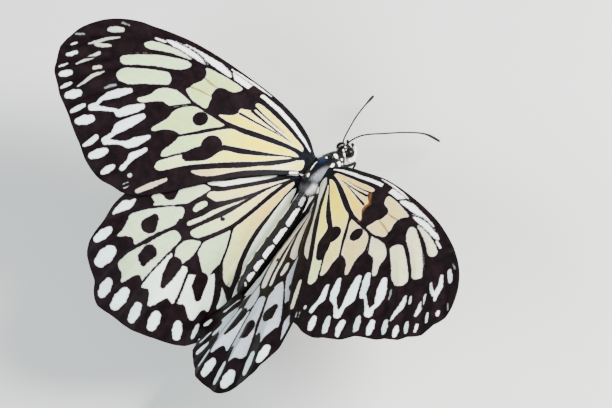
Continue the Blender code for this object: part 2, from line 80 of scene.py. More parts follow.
# Half the thickness, how far a vein stands out and how wide it is, and the thicker wing root
MEMBRANE, VEIN_LIFT, VEIN_WIDTH = 0.16, 0.05, 0.25
ROOT_EXTRA, ROOT_BEHIND, ROOT_REACH = 0.7, 0.7, 3.5
WING_ROWS, WING_COLUMNS = 300, 160
FORE_FRONT = [
    (0.2, 2.0), (1, 2.2), (4, 4.4), (8, 6.2), (12, 7.2), (16, 7.8), (20, 8.1), (25, 8.2), (30, 8.2),
    (35, 8.1), (40, 7.8), (45, 7.2), (50, 6.1), (55, 4.6), (60, 2.5), (64, 0.0), (67, -3.0), (69.2, -6.8),
    (69.9, -10.6),
]
FORE_BACK = [
    (0.2, -3.2), (1.4, -4.0), (3, -5.6), (5, -7.2), (7.5, -9.4), (10, -11.6), (12.5, -14.1), (15, -16.9),
    (17, -19), (19.3, -22), (21.4, -24.7), (23, -26.7), (24.8, -28.4), (26.5, -30.3), (29, -32.2),
    (32, -33.6), (35, -33.8), (38.5, -34.2), (42, -33.5), (46, -31.6), (50, -29.3), (54, -26.7),
    (58, -24.7), (61.5, -22.7), (64.5, -20.5), (67, -18.3), (68.4, -15.8), (69.4, -13.3), (69.9, -10.6),
]
# Veins as black strokes: outward, forward, half width
FORE_VEINS = [
    [(0.5, 1.4, 0.35), (2.5, 1.6, 0.35), (5, 2.6, 0.3), (10, 4.1, 0.3), (15, 5.0, 0.35), (20, 5.5, 0.3),
        (25, 5.3, 0.28), (30, 5.1, 0.24), (35, 4.6, 0.22), (38, 3.8, 0.3), (42, 3.7, 0.22),
        (46, 3.5, 0.22), (50, 2.6, 0.24), (55, 0.8, 0.3), (60, -2.2, 0.3), (65, -6, 0.3),
        (68.5, -10, 0.3)],
    [(29.3, 5.2, 0.24), (31.5, 6.6, 0.24), (34, 7.0, 0.24)],
    [(36.8, 4.3, 0.24), (40, 5.3, 0.24), (44, 5.4, 0.24), (49, 4.6, 0.24), (54, 3.0, 0.24)],
    [(39, 3.6, 0.3), (41.5, 2.9, 0.35), (45, 1.5, 0.3), (49, -0.6, 0.25), (53, -3.4, 0.3), (57, -7, 0.3),
        (61, -10.6, 0.3), (65, -14.2, 0.3), (67.6, -17, 0.3)],
    [(39.5, 0.5, 0.3), (41.5, -1, 0.4), (44, -2.4, 0.35), (48, -4.8, 0.3), (52, -7.4, 0.3),
        (55, -10.3, 0.3), (58.5, -14, 0.3), (61, -18, 0.3), (63, -21.3, 0.3)],
    [(38.5, -4.9, 0.3), (40.5, -5.4, 0.4), (43, -7.1, 0.35), (46, -9.2, 0.3), (49.5, -11.8, 0.3),
        (52, -15, 0.3), (55, -19.5, 0.3), (57.5, -24.3, 0.3)],
    [(38.5, 3.8, 0.3), (39.5, 0.5, 0.35), (38.6, -2.5, 0.35), (38.5, -4.9, 0.3)],
    [(1.5, 0.5, 0.4), (5, 0.3, 0.42), (8, -0.3, 0.45), (12, -1.3, 0.5), (16, -2.7, 0.5), (20, -4.1, 0.5),
        (23, -4.7, 0.5), (28, -5.1, 0.35), (32.5, -5.4, 0.3), (36, -5.0, 0.28), (38.5, -4.9, 0.3)],
    [(32.5, -5.4, 0.3), (36, -8.9, 0.28), (39, -12.2, 0.3), (42, -16, 0.4), (45, -20.5, 0.5),
        (47, -25, 0.5), (48.3, -29.8, 0.5)],
    [(21.7, -4.6, 0.3), (25, -8.4, 0.3), (29, -13, 0.3), (32, -17, 0.4), (35, -21.5, 0.5), (38, -26, 0.5),
        (40, -31, 0.5), (40.8, -33.6, 0.5)],
    [(2.5, -0.6, 0.2), (4, -1.6, 0.35), (8, -5.6, 0.5), (13, -10.6, 0.65), (18, -15, 0.55),
        (23, -19.7, 0.5), (27, -24, 0.5), (31, -29.3, 0.5), (33.3, -33, 0.4)],
]
# Pale fields between the veins, each with its tint
FORE_FIELDS = [
    ("white", [(24.7, 6.9), (25, 5.6), (29.3, 5.5), (31.1, 6.9)]),
    ("white", [(30.3, 5.4), (31.5, 6.6), (34, 6.9), (38, 6.6), (42, 6.2), (46, 5.5), (41, 5.8), (38, 5.3),
        (35, 5.2)]),
    ("white", [(37.2, 4.7), (40, 5.4), (43, 5.5), (47, 5.0), (50.3, 3.7), (48, 3.4), (45, 3.7), (41, 3.9),
        (38.5, 4.2)]),
    ("pale green", [(41.5, 3.3), (45, 3.4), (48, 2.9), (50.5, 2.2), (52.5, 1.4), (53.5, 0.3), (53.3, -0.6),
        (52.5, -0.9), (51, -0.5), (49, 0.6), (47, 1.5), (44, 2.5)]),
    ("pale green", [(40.5, 2.2), (42, 2.3), (44, 1.5), (47, 0.2), (49, -0.8), (51, -1.9), (53, -3.2),
        (54.5, -4.7), (55.4, -6.2), (54.8, -7.4), (53.5, -7.6), (52.5, -7), (51, -5.8), (49, -4.6),
        (47, -3.3), (44, -1.8), (42, -0.7), (41, 0.2), (40.3, 1.4)]),
    ("pale green", [(41, -4.5), (41.8, -3.4), (43, -2.9), (44, -3.1), (46, -4.1), (48.5, -5.5),
        (50.5, -6.8), (52.2, -7.9), (53, -9.2), (53, -10.5), (52.5, -11.1), (51.2, -11.6), (50, -11.2),
        (48.5, -10.8), (47, -9.5), (45, -8), (43, -6.8), (41.3, -5.6)]),
    ("straw", [(3.8, 1.3), (5, 2), (8, 2.7), (11, 3.4), (15, 4), (18, 4.3), (20.3, 4.2), (20.6, 3.6),
        (19.7, 2.8), (20.1, 1.9), (21.5, 1.1), (21.6, 0.6), (17, 0.5), (12, 0.7), (8, 0.9), (5, 1.0)]),
    ("straw behind", [(3.8, 0.9), (5, 1.3), (8, 1.2), (12, 1.0), (17, 0.8), (21.5, 0.9), (22.8, 0.3),
        (22.4, -1.0), (23.5, -2.4), (25, -3.4), (25.7, -3.9), (25.5, -4.15), (23, -4), (20, -3.3),
        (15, -1.7), (10, -0.3), (6, 0.5)]),
    ("cream", [(26, 4.8), (29, 4.9), (33, 4.5), (36.8, 3.9), (36.5, 3.3), (35.8, 2.7), (35.3, 1.8),
        (35.3, 0.2), (36.2, -1.6), (36.2, -2.6), (36.6, -3.4), (36, -4), (33.5, -4.8), (31, -4.8),
        (29.3, -4.5), (29.8, -3), (30.2, -1.7), (30.9, -0.9), (31, 1), (30, 2.1), (27.5, 2.6),
        (26.5, 3.4)]),
    ("butter", [(3.8, -0.7), (6, -0.6), (10, -1.7), (14, -3), (18, -4.3), (21, -5.0), (23.5, -7.5),
        (26, -10.5), (29.3, -14), (29.6, -15), (29.8, -17), (30.4, -19), (30.2, -20.5), (29.5, -20.8),
        (28, -19), (26, -16.3), (24.5, -13.5), (22, -11), (19.5, -9.5), (14, -6.4), (10, -4.3),
        (6.3, -2.2)]),
    ("yellow", [(5, -2), (7.5, -3.5), (10, -5.3), (13, -7.4), (16, -9.2), (18.5, -10.3), (19.5, -11.5),
        (20.5, -14.7), (22.5, -16.8), (24.8, -18.5), (26, -17.5), (29, -21.3), (29.7, -22.5), (29.3, -24),
        (28, -23.9), (27, -22.9), (25, -20.5), (23, -18.3), (20, -15.5), (17, -12.8), (14, -10.2),
        (11, -7.8), (8, -5.2)]),
    ("blush", [(2.5, -0.6), (5, -3.5), (8, -6.8), (11, -9.2), (14, -11.8), (18, -15.5), (21.8, -19.3),
        (21.8, -19.6), (20, -19.2), (18.5, -18.3), (17, -17), (14.5, -14), (12, -11.3), (9, -8.7),
        (6, -6.3), (3.5, -4.5), (1.5, -2.8)]),
    ("cream", [(23, -5.2), (28, -5.5), (32, -6), (34.8, -9.2), (35, -12.5), (36.4, -16.3), (35.7, -16.9),
        (33.6, -14.7), (31.3, -13.6), (29.5, -13.3), (26, -8.8)]),
    ("rim", [(33.8, -21.3), (34.9, -21.6), (35.8, -23.2), (36.5, -25), (36, -26.6), (36.3, -29.2),
        (35.6, -29.4), (35, -28.8), (34.9, -25.8), (33.6, -22.2)]),
    ("pale green", [(33.1, -5.9), (35, -5.3), (38, -5.2), (40, -5.9), (41.5, -7), (42.2, -8), (42.4, -9.5),
        (43, -10.8), (44.2, -12.5), (43.5, -13), (42.3, -12.3), (40.5, -10.6), (39, -9.5), (36.3, -9.2),
        (34.8, -8)]),
]
# Pale strokes and rim spots: tint, then outward, forward, half width along each
FORE_STREAKS = [
    ("white", [(1.9, -4.0, 0.22), (3.2, -5.1, 0.3)]),
    ("white", [(2.2, -1.5, 0.45), (3.7, -3.3, 0.7), (5.4, -5.1, 0.65), (7.6, -7.1, 0.3)]),
    ("white", [(2.5, 1.95, 0.3), (5, 3.2, 0.42), (10, 4.9, 0.54), (15, 5.75, 0.62), (20.6, 6.1, 0.62)]),
    ("white", [(19, 7.55, 0.12), (21, 7.6, 0.2), (25, 7.5, 0.24), (29, 7.35, 0.22), (31.8, 7.2, 0.1)]),
    ("white", [(50.1, 3.1, 0.25), (52.6, 2.4, 0.22)]),
    ("rim", [(35.5, -18.7, 0.48), (37.3, -21.6, 1.2), (38.3, -23.2, 0.9), (40.5, -24.2, 0.38),
        (43.3, -26, 0.72)]),
    ("rim", [(40.3, -15.6, 0.84), (41.9, -18.6, 1.5), (42.9, -21, 1.38), (43.1, -23.4, 0.5),
        (43.8, -25.8, 0.72)]),
    ("rim", [(42, -13.6, 0.72), (43.7, -16, 1.26), (45.4, -18.3, 0.9), (46.7, -18.3, 0.38),
        (49.5, -20, 0.46), (51.5, -21.1, 0.84)]),
    ("rim", [(47.3, -12.2, 0.72), (49, -14.3, 1.2), (50.4, -16.2, 1.08), (51.3, -18, 0.54),
        (51.2, -19.5, 0.48), (51.9, -21, 0.72)]),
    ("dim", [(51.2, -13, 0.25), (52, -14.1, 0.4), (52.7, -15.1, 0.25)]),
    ("haze", [(56.3, -12.2, 0.42), (57.5, -14.7, 0.58), (57.8, -17.1, 0.42), (58.3, -18.9, 0.2)]),
    ("haze", [(57.6, -11.6, 0.35), (58.6, -12.7, 0.4)]),
    ("haze", [(60.5, -8.9, 0.3), (61.6, -11.4, 0.62), (62.9, -14.4, 0.26)]),
    ("haze", [(59.8, -2.8, 0.26), (61.9, -5, 0.52), (62.9, -7, 0.56), (64.2, -8.7, 0.22)]),
    ("haze", [(59.5, -6, 0.25), (61.2, -7.2, 0.45), (62.6, -7.8, 0.45)]),
    ("haze", [(60.6, -0.9, 0.5), (62, -1.8, 0.68), (63.2, -2.7, 0.5)]),
    ("dim", [(60, 0.9, 0.12), (61.8, 0.3, 0.16)]),
    ("blush", [(25.4, -24.8, 0.35), (27.4, -28.1, 0.68), (29.2, -31.1, 0.5)]),
    ("haze", [(33, -29, 0.42), (33.1, -29.2, 0.42)]),
    ("haze", [(32.2, -31.2, 0.5), (32.6, -32.0, 0.55)]),
    ("rim", [(37.9, -29.9, 0.64), (38.5, -31.2, 0.95), (39, -32.3, 0.64)]),
    ("rim", [(41.9, -27.9, 0.79), (42.8, -29.3, 1.1), (43.8, -30.7, 0.79)]),
    ("rim", [(46.2, -26.6, 0.85), (46.8, -27.9, 1.18), (47.4, -29.2, 0.85)]),
    ("rim", [(49.9, -23.4, 0.82), (50.9, -24.6, 1.14), (51.9, -25.8, 0.82)]),
    ("rim", [(53.9, -21.9, 0.56), (54.6, -23.3, 0.82), (55.3, -24.6, 0.56)]),
    ("rim", [(57.1, -20, 0.73), (58, -21.1, 1.02), (58.9, -22.1, 0.73)]),
    ("rim", [(60.7, -19.3, 0.45), (61.3, -20.3, 0.66), (61.8, -21.2, 0.45)]),
    ("rim", [(62.5, -17.1, 0.54), (63.3, -18, 0.74), (64.1, -18.8, 0.54)]),
    ("rim", [(65, -15.8, 0.24), (65.5, -16.6, 0.34), (66, -17.4, 0.24)]),
    ("rim", [(65.2, -12.2, 0.32), (65.9, -13.1, 0.46), (66.6, -13.9, 0.32)]),
    ("rim", [(67.1, -10.2, 0.28), (67.4, -10.6, 0.38), (67.7, -11.1, 0.28)]),
    ("dim", [(67.4, -7.3, 0.16), (68.2, -7.9, 0.22), (69, -8.5, 0.16)]),
]
# Black marks that lie over the pale fields
FORE_MARKS = [
    [(28.6, -7.4, 1.85), (28.65, -7.6, 1.85)],
    [(22.1, -11.0, 2.45), (22.2, -11.3, 2.4)],
    [(22.3, -13, 1.15), (24.9, -17.1, 1.15), (25.2, -17.4, 0.9)],
    [(6.3, -2.3, 0.05), (10, -4.7, 0.35), (14, -6.9, 0.45), (19.5, -9.8, 0.55)],
    [(26, -16.4, 0.12), (28, -19, 0.13), (29.5, -20.9, 0.12)],
    [(7, 1, 0.05), (9, 1.1, 0.16), (12, 1.2, 0.22), (16, 1.4, 0.28), (20, 1.7, 0.42)],
    [(9, 0.9, 0.05), (12, 0.7, 0.17), (15, 0.3, 0.24), (18, -0.1, 0.28), (22, -0.6, 0.36)],
    [(10, 1.8, 0.05), (14, 2.2, 0.14), (17, 2.5, 0.2), (20, 2.9, 0.3)],
]
FORE_BROWN_LINES = [
    [(10, 2.1, 0.08), (16, 2.5, 0.12), (19, 2.6, 0.1)],
    [(30.6, 1.25, 0.12), (33, 1.2, 0.24), (35.5, 1.5, 0.2)],
    [(30.8, -1.4, 0.12), (33.5, -1.8, 0.24), (36.2, -2.4, 0.2)],
]
SCALE_TINTS = {
    "white": ("#F8F8F0", "#F2F7F2"),
    "rim": ("#D8EDEC", "#D8EDEC"),
    "pale green": ("#C3DB90", "#B9D996"),
    "cream": ("#DFD560", "#B4CE7C"),
    "straw": ("#EAD838", "#DCD050"),
    "straw behind": ("#F0E024", "#DED844"),
    "butter": ("#F4E014", "#B2D28A"),
    "yellow": ("#F4E418", "#C8E08A"),
    "blush": ("#F0DC48", "#C2A67C"),
    "dim": ("#6E7378", "#6C757E"),
    "haze": ("#B6C0A6", "#B6C0A6"),
}
# On the right the same cells get other, mostly warmer tints: painted light and shade, for the light that
# falls otherwise on the right wings
RIGHT_PAINTED_LIGHT_TINTS = {
    "pale green": ("#D8C888", "#CDCA9C"),
    "cream": ("#DCC060", "#D2BC78"),
    "straw": ("#EAC052", "#E29C4C"),
    "straw behind": ("#F0CE38", "#ECB852"),
    "butter": ("#F2DA20", "#D6CA78"),
    "yellow": ("#F4E220", "#CFD88C"),
    "blush": ("#B0AE92", "#C2B890"),
    "haze": ("#CBD6D6", "#CBD6D6"),
}
GROUND_BROWN = "#0E0709"
# A painted bluish sheen on the black scales near the wing roots
ROOT_PAINTED_SHEEN = "#07080D"
CELL_EDGE_BROWN = "#63401C"
LINE_BROWN = "#7A5A3C"
# Depths into a mark are followed this far outside it, in mm
REACH = 1.6


def srgb(hex_text):
    """sRGB hex to linear red, green, blue: v / 12.92 below 0.04045, else ((v + 0.055) / 1.055) ^ 2.4."""
    v = np.array([int(hex_text[i:i + 2], 16) / 255 for i in (1, 3, 5)])
    return np.where(v <= 0.04045, v / 12.92, ((v + 0.055) / 1.055) ** 2.4)


def blend(first, second, share):
    """Mix two colours, hex or linear, point by point: first * (1 - share) + second * share."""
    first, second = (srgb(c) if isinstance(c, str) else c for c in (first, second))
    return first * (1 - share[:, None]) + second * share[:, None]


def smooth_step(x, start, end):
    """0 before start and 1 after end; between them t * t * (3 - 2 * t) of the share t of the way."""
    t = np.clip((x - start) / (end - start), 0, 1)
    return t * t * (3 - 2 * t)


def to_row(points):
    """Body axes in millimetres to the row frame: (left, -forward, up + stance)."""
    p = np.asarray(points, float)
    return np.stack([p[..., 1] * MM + ACROSS, -p[..., 0] * MM + ALONG, (p[..., 2] + STANCE) * MM], -1)


def curve(points, count, closed=False):
    """Catmull-Rom spline through the points, 16 steps to a span, read at even distances along it."""
    p = np.asarray(points, float)
    n = len(p)
    t = np.linspace(0, 1, 16, endpoint=False)[:, None]
    out = []
    for i in range(n if closed else n - 1):
        q = p[[k % n if closed else min(max(k, 0), n - 1) for k in range(i - 1, i + 3)]]
        out.append(0.5 * (2 * q[1] + (q[2] - q[0]) * t + (2 * q[0] - 5 * q[1] + 4 * q[2] - q[3]) * t ** 2
                          + (3 * q[1] - q[0] - 3 * q[2] + q[3]) * t ** 3))
    line = np.vstack(out + [p[:1] if closed else p[-1:]])
    along = np.r_[0, np.cumsum(np.linalg.norm(np.diff(line[:, :3], axis=0), axis=1))]
    at = np.linspace(0, along[-1], count + 1 if closed else count)
    made = np.stack([np.interp(at, along, line[:, k]) for k in range(line.shape[1])], -1)
    return made[:-1] if closed else made


def slope_table(slope, ease):
    """Reach and height of a strip whose slope at distance u along it is slope * exp(-u / ease)."""
    u = np.linspace(0, 80, 1601)
    s = np.radians(slope) * np.exp(-u / ease)
    across = np.r_[0, np.cumsum((np.cos(s[1:]) + np.cos(s[:-1])) * (u[1] / 2))]
    upward = np.r_[0, np.cumsum((np.sin(s[1:]) + np.sin(s[:-1])) * (u[1] / 2))]
    return u, across, upward


def wing_sheet(a, b, wing, side):
    """Body-axis points of the folded-back wing at plan distance a outward and b forward.

    The strip outward from the hinge follows slope_table. The camber adds
    camber * ((b - line)^2 - line^2) / 100, fading in over the first centimetre. Within 14 mm
    of the body the hindwing bends down to 80 degrees, which makes the abdomen's gutter; on
    the right its margin curls back under the abdomen by the curl, 2.6 mm further in. The
    tuck draws the front edge back by tuck * exp(-((a - 11) / 9)^2) * b / 6.
    """
    hold = HOLD[side]
    turn = math.radians(hold["sweep"][wing])
    b = b - hold["tuck"] * np.exp(-((a - TUCK_AT) / TUCK_WIDTH) ** 2) * np.clip(b / TUCK_DEPTH, 0, 1)
    da, db = a - PIVOT[wing][0], b - PIVOT[wing][1]
    a = PIVOT[wing][0] + da * math.cos(turn) + db * math.sin(turn)
    b = PIVOT[wing][1] - da * math.sin(turn) + db * math.cos(turn)
    u, across, upward = slope_table(hold["slope"], hold["ease"])
    reach = np.clip(a, FOLD_START if wing == "hind" else 0, None)
    y, z = np.interp(reach, u, across), np.interp(reach, u, upward)
    if wing == "hind":
        fold = hold["fold_at"] * (1 - np.exp(np.minimum(b + 5, 0) / 12))
        fold = fold - hold["fold_drift"] * np.maximum(-b - 38, 0)
        back = np.clip(-(b + 4) / 6, 0, 1)
        inner = np.minimum(a - FOLD_START, 0)
        for part in (np.arange(FOLD_STEPS) + 0.5) / FOLD_STEPS:
            at = FOLD_START + inner * part
            base = hold["slope"] * np.exp(-np.clip(at, 0, None) / hold["ease"])
            tilt = base + (FOLD_SLOPE - base) * back / (1 + np.exp((at - fold) / hold["fold_soft"]))
            curled = hold["curl"] * back / (1 + np.exp((at - fold + CURL_INSIDE) / CURL_SOFT))
            tilt = np.radians(tilt - curled)
            y, z = y + np.cos(tilt) * inner / FOLD_STEPS, z + np.sin(tilt) * inner / FOLD_STEPS
    else:
        y = y + np.minimum(a, 0)
    out = np.clip(a, 0, None)
    lift = hold["camber"] * ((b - CAMBER_LINE) ** 2 - CAMBER_LINE ** 2) / 100 * (1 - np.exp(-out / 10))
    lean = np.radians(hold["slope"]) * np.exp(-out / hold["ease"])
    return np.stack([b, (y + HINGE_HALF - lift * np.sin(lean)) * side, z + lift * np.cos(lean)], -1)


def stroke_depth(points, strokes, reach=REACH):
    """How deep each point lies in round-ended strokes: the most of half width minus distance."""
    best = np.full(len(points), -reach)
    for line in strokes:
        line = np.asarray(line, float)
        box = np.abs(points - (line[:, :2].max(0) + line[:, :2].min(0)) / 2)
        size = (line[:, :2].max(0) - line[:, :2].min(0)) / 2 + line[:, 2].max() + reach
        near = np.flatnonzero((box < size).all(1))
        p = points[near]
        if not len(p):
            continue
        here = best[near]
        for start, end in zip(line[:-1], line[1:]):
            span = end[:2] - start[:2]
            t = np.clip(((p - start[:2]) @ span) / max(span @ span, 1e-9), 0, 1)
            gone = np.linalg.norm(p - start[:2] - t[:, None] * span, axis=1)
            here = np.maximum(here, start[2] + (end[2] - start[2]) * t - gone)
        best[near] = here
    return best


def field_depth(points, corners, reach=REACH):
    """Distance from the edge of a closed field, rounded where it has many corners: negative outside."""
    ring = np.asarray(corners, float)
    if len(ring) > 6:
        ring = curve(ring, len(ring) * 4, closed=True)
    out = np.full(len(points), -reach)
    near = np.flatnonzero(((points > ring.min(0) - reach) & (points < ring.max(0) + reach)).all(1))
    p = points[near]
    gone = np.full(len(p), reach * 2)
    within = np.zeros(len(p), bool)
    for start, end in zip(ring, np.roll(ring, -1, axis=0)):
        span = end - start
        t = np.clip(((p - start) @ span) / max(span @ span, 1e-9), 0, 1)
        gone = np.minimum(gone, np.linalg.norm(p - start - t[:, None] * span, axis=1))
        crosses = (start[1] > p[:, 1]) != (end[1] > p[:, 1])
        drop = end[1] - start[1] if end[1] != start[1] else 1e-9
        within ^= crosses & (p[:, 0] < span[0] * (p[:, 1] - start[1]) / drop + start[0])
    out[near] = np.maximum(np.where(within, gone, -gone), -reach)
    return out


def paint(points, fields, streaks, veins, marks, brown_lines, rim, side):
    """Scale pattern at plan points: depth into the pale scales in mm, and the pale tint there.

    Depth is the deepest pale field or streak, limited by how far the point is outside every vein
    and mark and inside the black rim, which is 0.12 mm wide at the root and 0.45 mm from 16 mm
    out. It is divided by the softness of the edges, which grows from 1 to 1.8 outward. The tint
    of each field runs from its root colour at 13 mm from the hinge to its outer colour at 33 mm,
    with faint lighter and darker streaks that fan out from the hinge: painted light and shade of fine
    pleats.
    """
    pale = np.full(len(points), -REACH)
    weight = np.full(len(points), 1e-6)
    tint = np.zeros((len(points), 3))
    gone = np.linalg.norm(points, axis=1)
    away = smooth_step(gone, 13, 33)
    for name, shape in fields + streaks:
        depth = stroke_depth(points, [shape]) if len(shape[0]) == 3 else field_depth(points, shape)
        # On the right the tints carry painted light and shade
        known = RIGHT_PAINTED_LIGHT_TINTS if side < 0 and name in RIGHT_PAINTED_LIGHT_TINTS else SCALE_TINTS
        w = np.exp(np.clip(depth, -REACH, 0.6) * 6)
        tint += w[:, None] * blend(*known[name], away)
        weight += w
        pale = np.maximum(pale, depth)
    tint /= weight[:, None]
    # Painted light and shade of fine pleats: the tint is made a little lighter and darker in streaks that
    # fan out from the hinge
    bearing = np.degrees(np.arctan2(points[:, 1] + 1.5, points[:, 0]))
    streak = np.sin(bearing * 2.9) + np.sin(bearing * 6.7 + 1) + 0.7 * np.sin(bearing * 13.1 + 2)
    tint *= (1 + 0.022 * streak)[:, None]
    pale = np.minimum(pale, -stroke_depth(points, veins + marks))
    pale = np.minimum(pale, rim - 0.12 - 0.33 * smooth_step(gone, 6, 16))
    pale = pale / (1 + 0.8 * smooth_step(gone, 20, 45))
    return pale, blend(tint, LINE_BROWN, np.clip(0.5 + stroke_depth(points, brown_lines) / 0.2, 0, 1))


def ground_tint(points, sheen_until, brown_edge=None):
    """Colour of the black scales: blue-black by the root, where the blue is a painted sheen, brown-black
    beyond, brown at brown_edge.
    """
    near_root = np.exp(-(np.linalg.norm(points, axis=1) / sheen_until) ** 2)
    colour = blend(GROUND_BROWN, ROOT_PAINTED_SHEEN, near_root)
    if brown_edge:
        worn = np.clip(0.5 + stroke_depth(points, brown_edge) / 0.9, 0, 1)
        colour = blend(colour, CELL_EDGE_BROWN, worn)
    return colour


def grid_quads(n, m):
    """Quads between the points of a grid of n rows of m."""
    at = (np.arange(n - 1)[:, None] * m + np.arange(m - 1)).reshape(-1)
    return np.stack([at, at + m, at + m + 1, at + 1], -1)


def mesh_piece(name, spots, quads, triangles=()):
    """A smooth mesh object at the origin from arrays of points, quads and, for hair, triangles."""
    mesh = bpy.data.meshes.new(name)
    mesh.vertices.add(len(spots))
    mesh.vertices.foreach_set("co", np.asarray(spots, np.float32).ravel())
    corners = np.r_[np.ravel(quads), np.ravel(triangles)]
    starts = np.r_[np.arange(len(quads)) * 4, len(quads) * 4 + np.arange(len(triangles)) * 3]
    mesh.loops.add(len(corners))
    mesh.loops.foreach_set("vertex_index", corners.astype(np.int32))
    mesh.polygons.add(len(starts))
    mesh.polygons.foreach_set("loop_start", starts.astype(np.int32))
    mesh.polygons.foreach_set("use_smooth", np.ones(len(starts), bool))
    mesh.update(calc_edges=True)
    made = bpy.data.objects.new(name, mesh)
    bpy.context.scene.collection.objects.link(made)
    return made


def weld(item, distance=1e-7):
    """Close poles and seams by merging points that share a place; faces this empties go."""
    work = bmesh.new()
    work.from_mesh(item.data)
    bmesh.ops.remove_doubles(work, verts=work.verts, dist=distance)
    bmesh.ops.recalc_face_normals(work, faces=work.faces)
    work.to_mesh(item.data)
    work.free()


def set_colours(item, pale, tint, ground):
    """Store at each point its depth into the pale scales, their tint, and the black scales' colour."""
    item.data.attributes.new("pale", "FLOAT", "POINT").data.foreach_set("value", pale)
    for label, values in (("tint", tint), ("ground", ground)):
        rgba = np.c_[values, np.ones(len(values))]
        item.data.attributes.new(label, "FLOAT_COLOR", "POINT").data.foreach_set("color", rgba.ravel())


def wing_plan(wing, front, back, veins, fan):
    """A wing's plan grid with, at its points, distance from rim and nearest vein, and the pleats.

    The grid is straight lines from the front edge to the back edge. The pleats are the distance
    from the vein times a slope that grows from 0 to fan[0] between fan[1] and fan[2] mm out.
    """
    first, last = curve(front, WING_ROWS), curve(back, WING_ROWS)
    t = np.linspace(0, 1, WING_COLUMNS)[None, :, None]
    plan = first[:, None] * (1 - t) + last[:, None] * t
    points = plan.reshape(-1, 2)
    ring = np.vstack([curve(front, 160), curve(back, 160)[::-1]])
    rim = np.clip(-stroke_depth(points, [np.c_[ring, np.zeros(len(ring))]], reach=4.0), 0, 4)
    middles = [[(a, b, 0.0) for a, b, _ in vein] for vein in veins]
    from_vein = -stroke_depth(points, middles, reach=6.0)
    slope = fan[0] * smooth_step(np.linalg.norm(points - PIVOT[wing], axis=1), fan[1], fan[2])
    return plan, points, rim, from_vein, slope * from_vein


def wing_mesh(name, wing, side, plan, painted, from_vein, pleat):
    """A closed two-skinned sheet over an outline grid, with raised veins and fan pleats.

    The middle is wing_sheet. Veins lift both skins by 0.05 * exp(-(d / 0.25)^2) and the pleats
    move both upward, so that veins are valleys seen from above. The membrane thins to 0.45 of
    itself at the rim. Where the wings lie over each other, the forewing moves up by the layer and
    the hindwing down by it. The root is thicker by 0.7 * exp(-(distance / 3.5)^2) on one face.
    """
    n, m = plan.shape[:2]
    flat = plan.reshape(-1, 2)
    middle = wing_sheet(flat[:, 0], flat[:, 1], wing, side)
    step = 0.05
    along_a = wing_sheet(flat[:, 0] + step, flat[:, 1], wing, side) - middle
    along_b = wing_sheet(flat[:, 0], flat[:, 1] + step, wing, side) - middle
    normal = np.cross(along_b, along_a) * side
    normal /= np.linalg.norm(normal, axis=1)[:, None]
    behind = (flat - OVERLAP_START) @ np.array(OVERLAP_ACROSS)
    over = np.clip((14 + behind) / 9, 0, 1) if wing == "fore" else -np.clip((9 - behind) / 8, 0, 1)
    across = np.abs(np.linspace(-1, 1, m))[None, :]
    edge = np.minimum((1 - across) * m / 6, 1) * np.ones((n, 1))
    half = MEMBRANE * (0.45 + 0.55 * edge.reshape(-1))
    half += VEIN_LIFT * np.exp(-(np.clip(from_vein, 0, 3) / VEIN_WIDTH) ** 2)
    root = (0.0, PIVOT[wing][1] - ROOT_BEHIND)
    extra = ROOT_EXTRA * np.exp(-(np.linalg.norm(flat - root, axis=1) / ROOT_REACH) ** 2)
    up = LAYER * over + pleat + half + (extra if wing == "fore" else 0)
    down = LAYER * over + pleat - half - (extra if wing == "hind" else 0)
    spots = to_row(np.vstack([middle + normal * up[:, None], middle + normal * down[:, None]]))
    top = grid_quads(n, m)
    c, r, under = np.arange(n - 1) * m, np.arange(m - 1), n * m
    front = np.stack([c, c + under, c + m + under, c + m], -1)
    back = np.stack([c + m - 1, c + 2 * m - 1, c + 2 * m - 1 + under, c + m - 1 + under], -1)
    inner = np.stack([r, r + 1, r + 1 + under, r + under], -1)
    quads = np.vstack([top, top[:, ::-1] + under, front, back, inner])
    made = mesh_piece(name, spots, quads if side > 0 else quads[:, ::-1])
    pale, tint, ground = painted
    set_colours(made, np.tile(pale, 2), np.tile(tint, (2, 1)), np.tile(ground, (2, 1)))
    weld(made)
    return made


def feed(node, **links):
    """Link or set inputs by name, with _ for a space, or by number as i0. A node gives its first output."""
    for key, value in links.items():
        socket = node.inputs[int(key[1:]) if key[1:].isdigit() else key.replace("_", " ")]
        if isinstance(value, bpy.types.Node):
            value = value.outputs[0]
        if isinstance(value, bpy.types.NodeSocket):
            node.id_data.links.new(value, socket)
        else:
            socket.default_value = value
    return node


def add_node(tree, kind, settings=None, **links):
    """One shader node with its settings, and its inputs linked or set."""
    node = tree.nodes.new("ShaderNode" + kind)
    for key, value in (settings or {}).items():
        setattr(node, key, value)
    return feed(node, **links)


def ranged(tree, value, given, wanted, smooth=False):
    """A value mapped from the given range to the wanted one, evenly or by a smooth step."""
    return add_node(tree, "MapRange", {"interpolation_type": "SMOOTHSTEP" if smooth else "LINEAR"},
                    Value=value, From_Min=given[0], From_Max=given[1], To_Min=wanted[0], To_Max=wanted[1])


def new_material(name):
    """A material, its node tree and its surface node."""
    made = bpy.data.materials.new(name)
    made.use_nodes = True
    return made, made.node_tree, made.node_tree.nodes["Principled BSDF"]


def pale_share(tree, place, scale, ragged, edge):
    """Depth into the pale scales with a ragged edge, and the share of pale scales there.

    The depth is the stored one + ragged * (noise - 0.5); the share is its smooth step over edge.
    """
    stored = add_node(tree, "Attribute", {"attribute_name": "pale"})
    noise = add_node(tree, "TexNoise", Vector=place, Scale=scale, Detail=4.0)
    wobble = add_node(tree, "Math", {"operation": "MULTIPLY_ADD"}, i0=noise, i1=ragged, i2=-ragged / 2)
    depth = add_node(tree, "Math", {"operation": "ADD"}, i0=stored.outputs["Fac"], i1=wobble)
    return depth, ranged(tree, depth, edge, (0, 1), smooth=True)


def tinted(tree, label, shade):
    """The colour stored under this name, scaled by the shade."""
    colour = add_node(tree, "Attribute", {"attribute_name": label})
    return add_node(tree, "VectorMath", {"operation": "SCALE"}, i0=colour, Scale=shade)


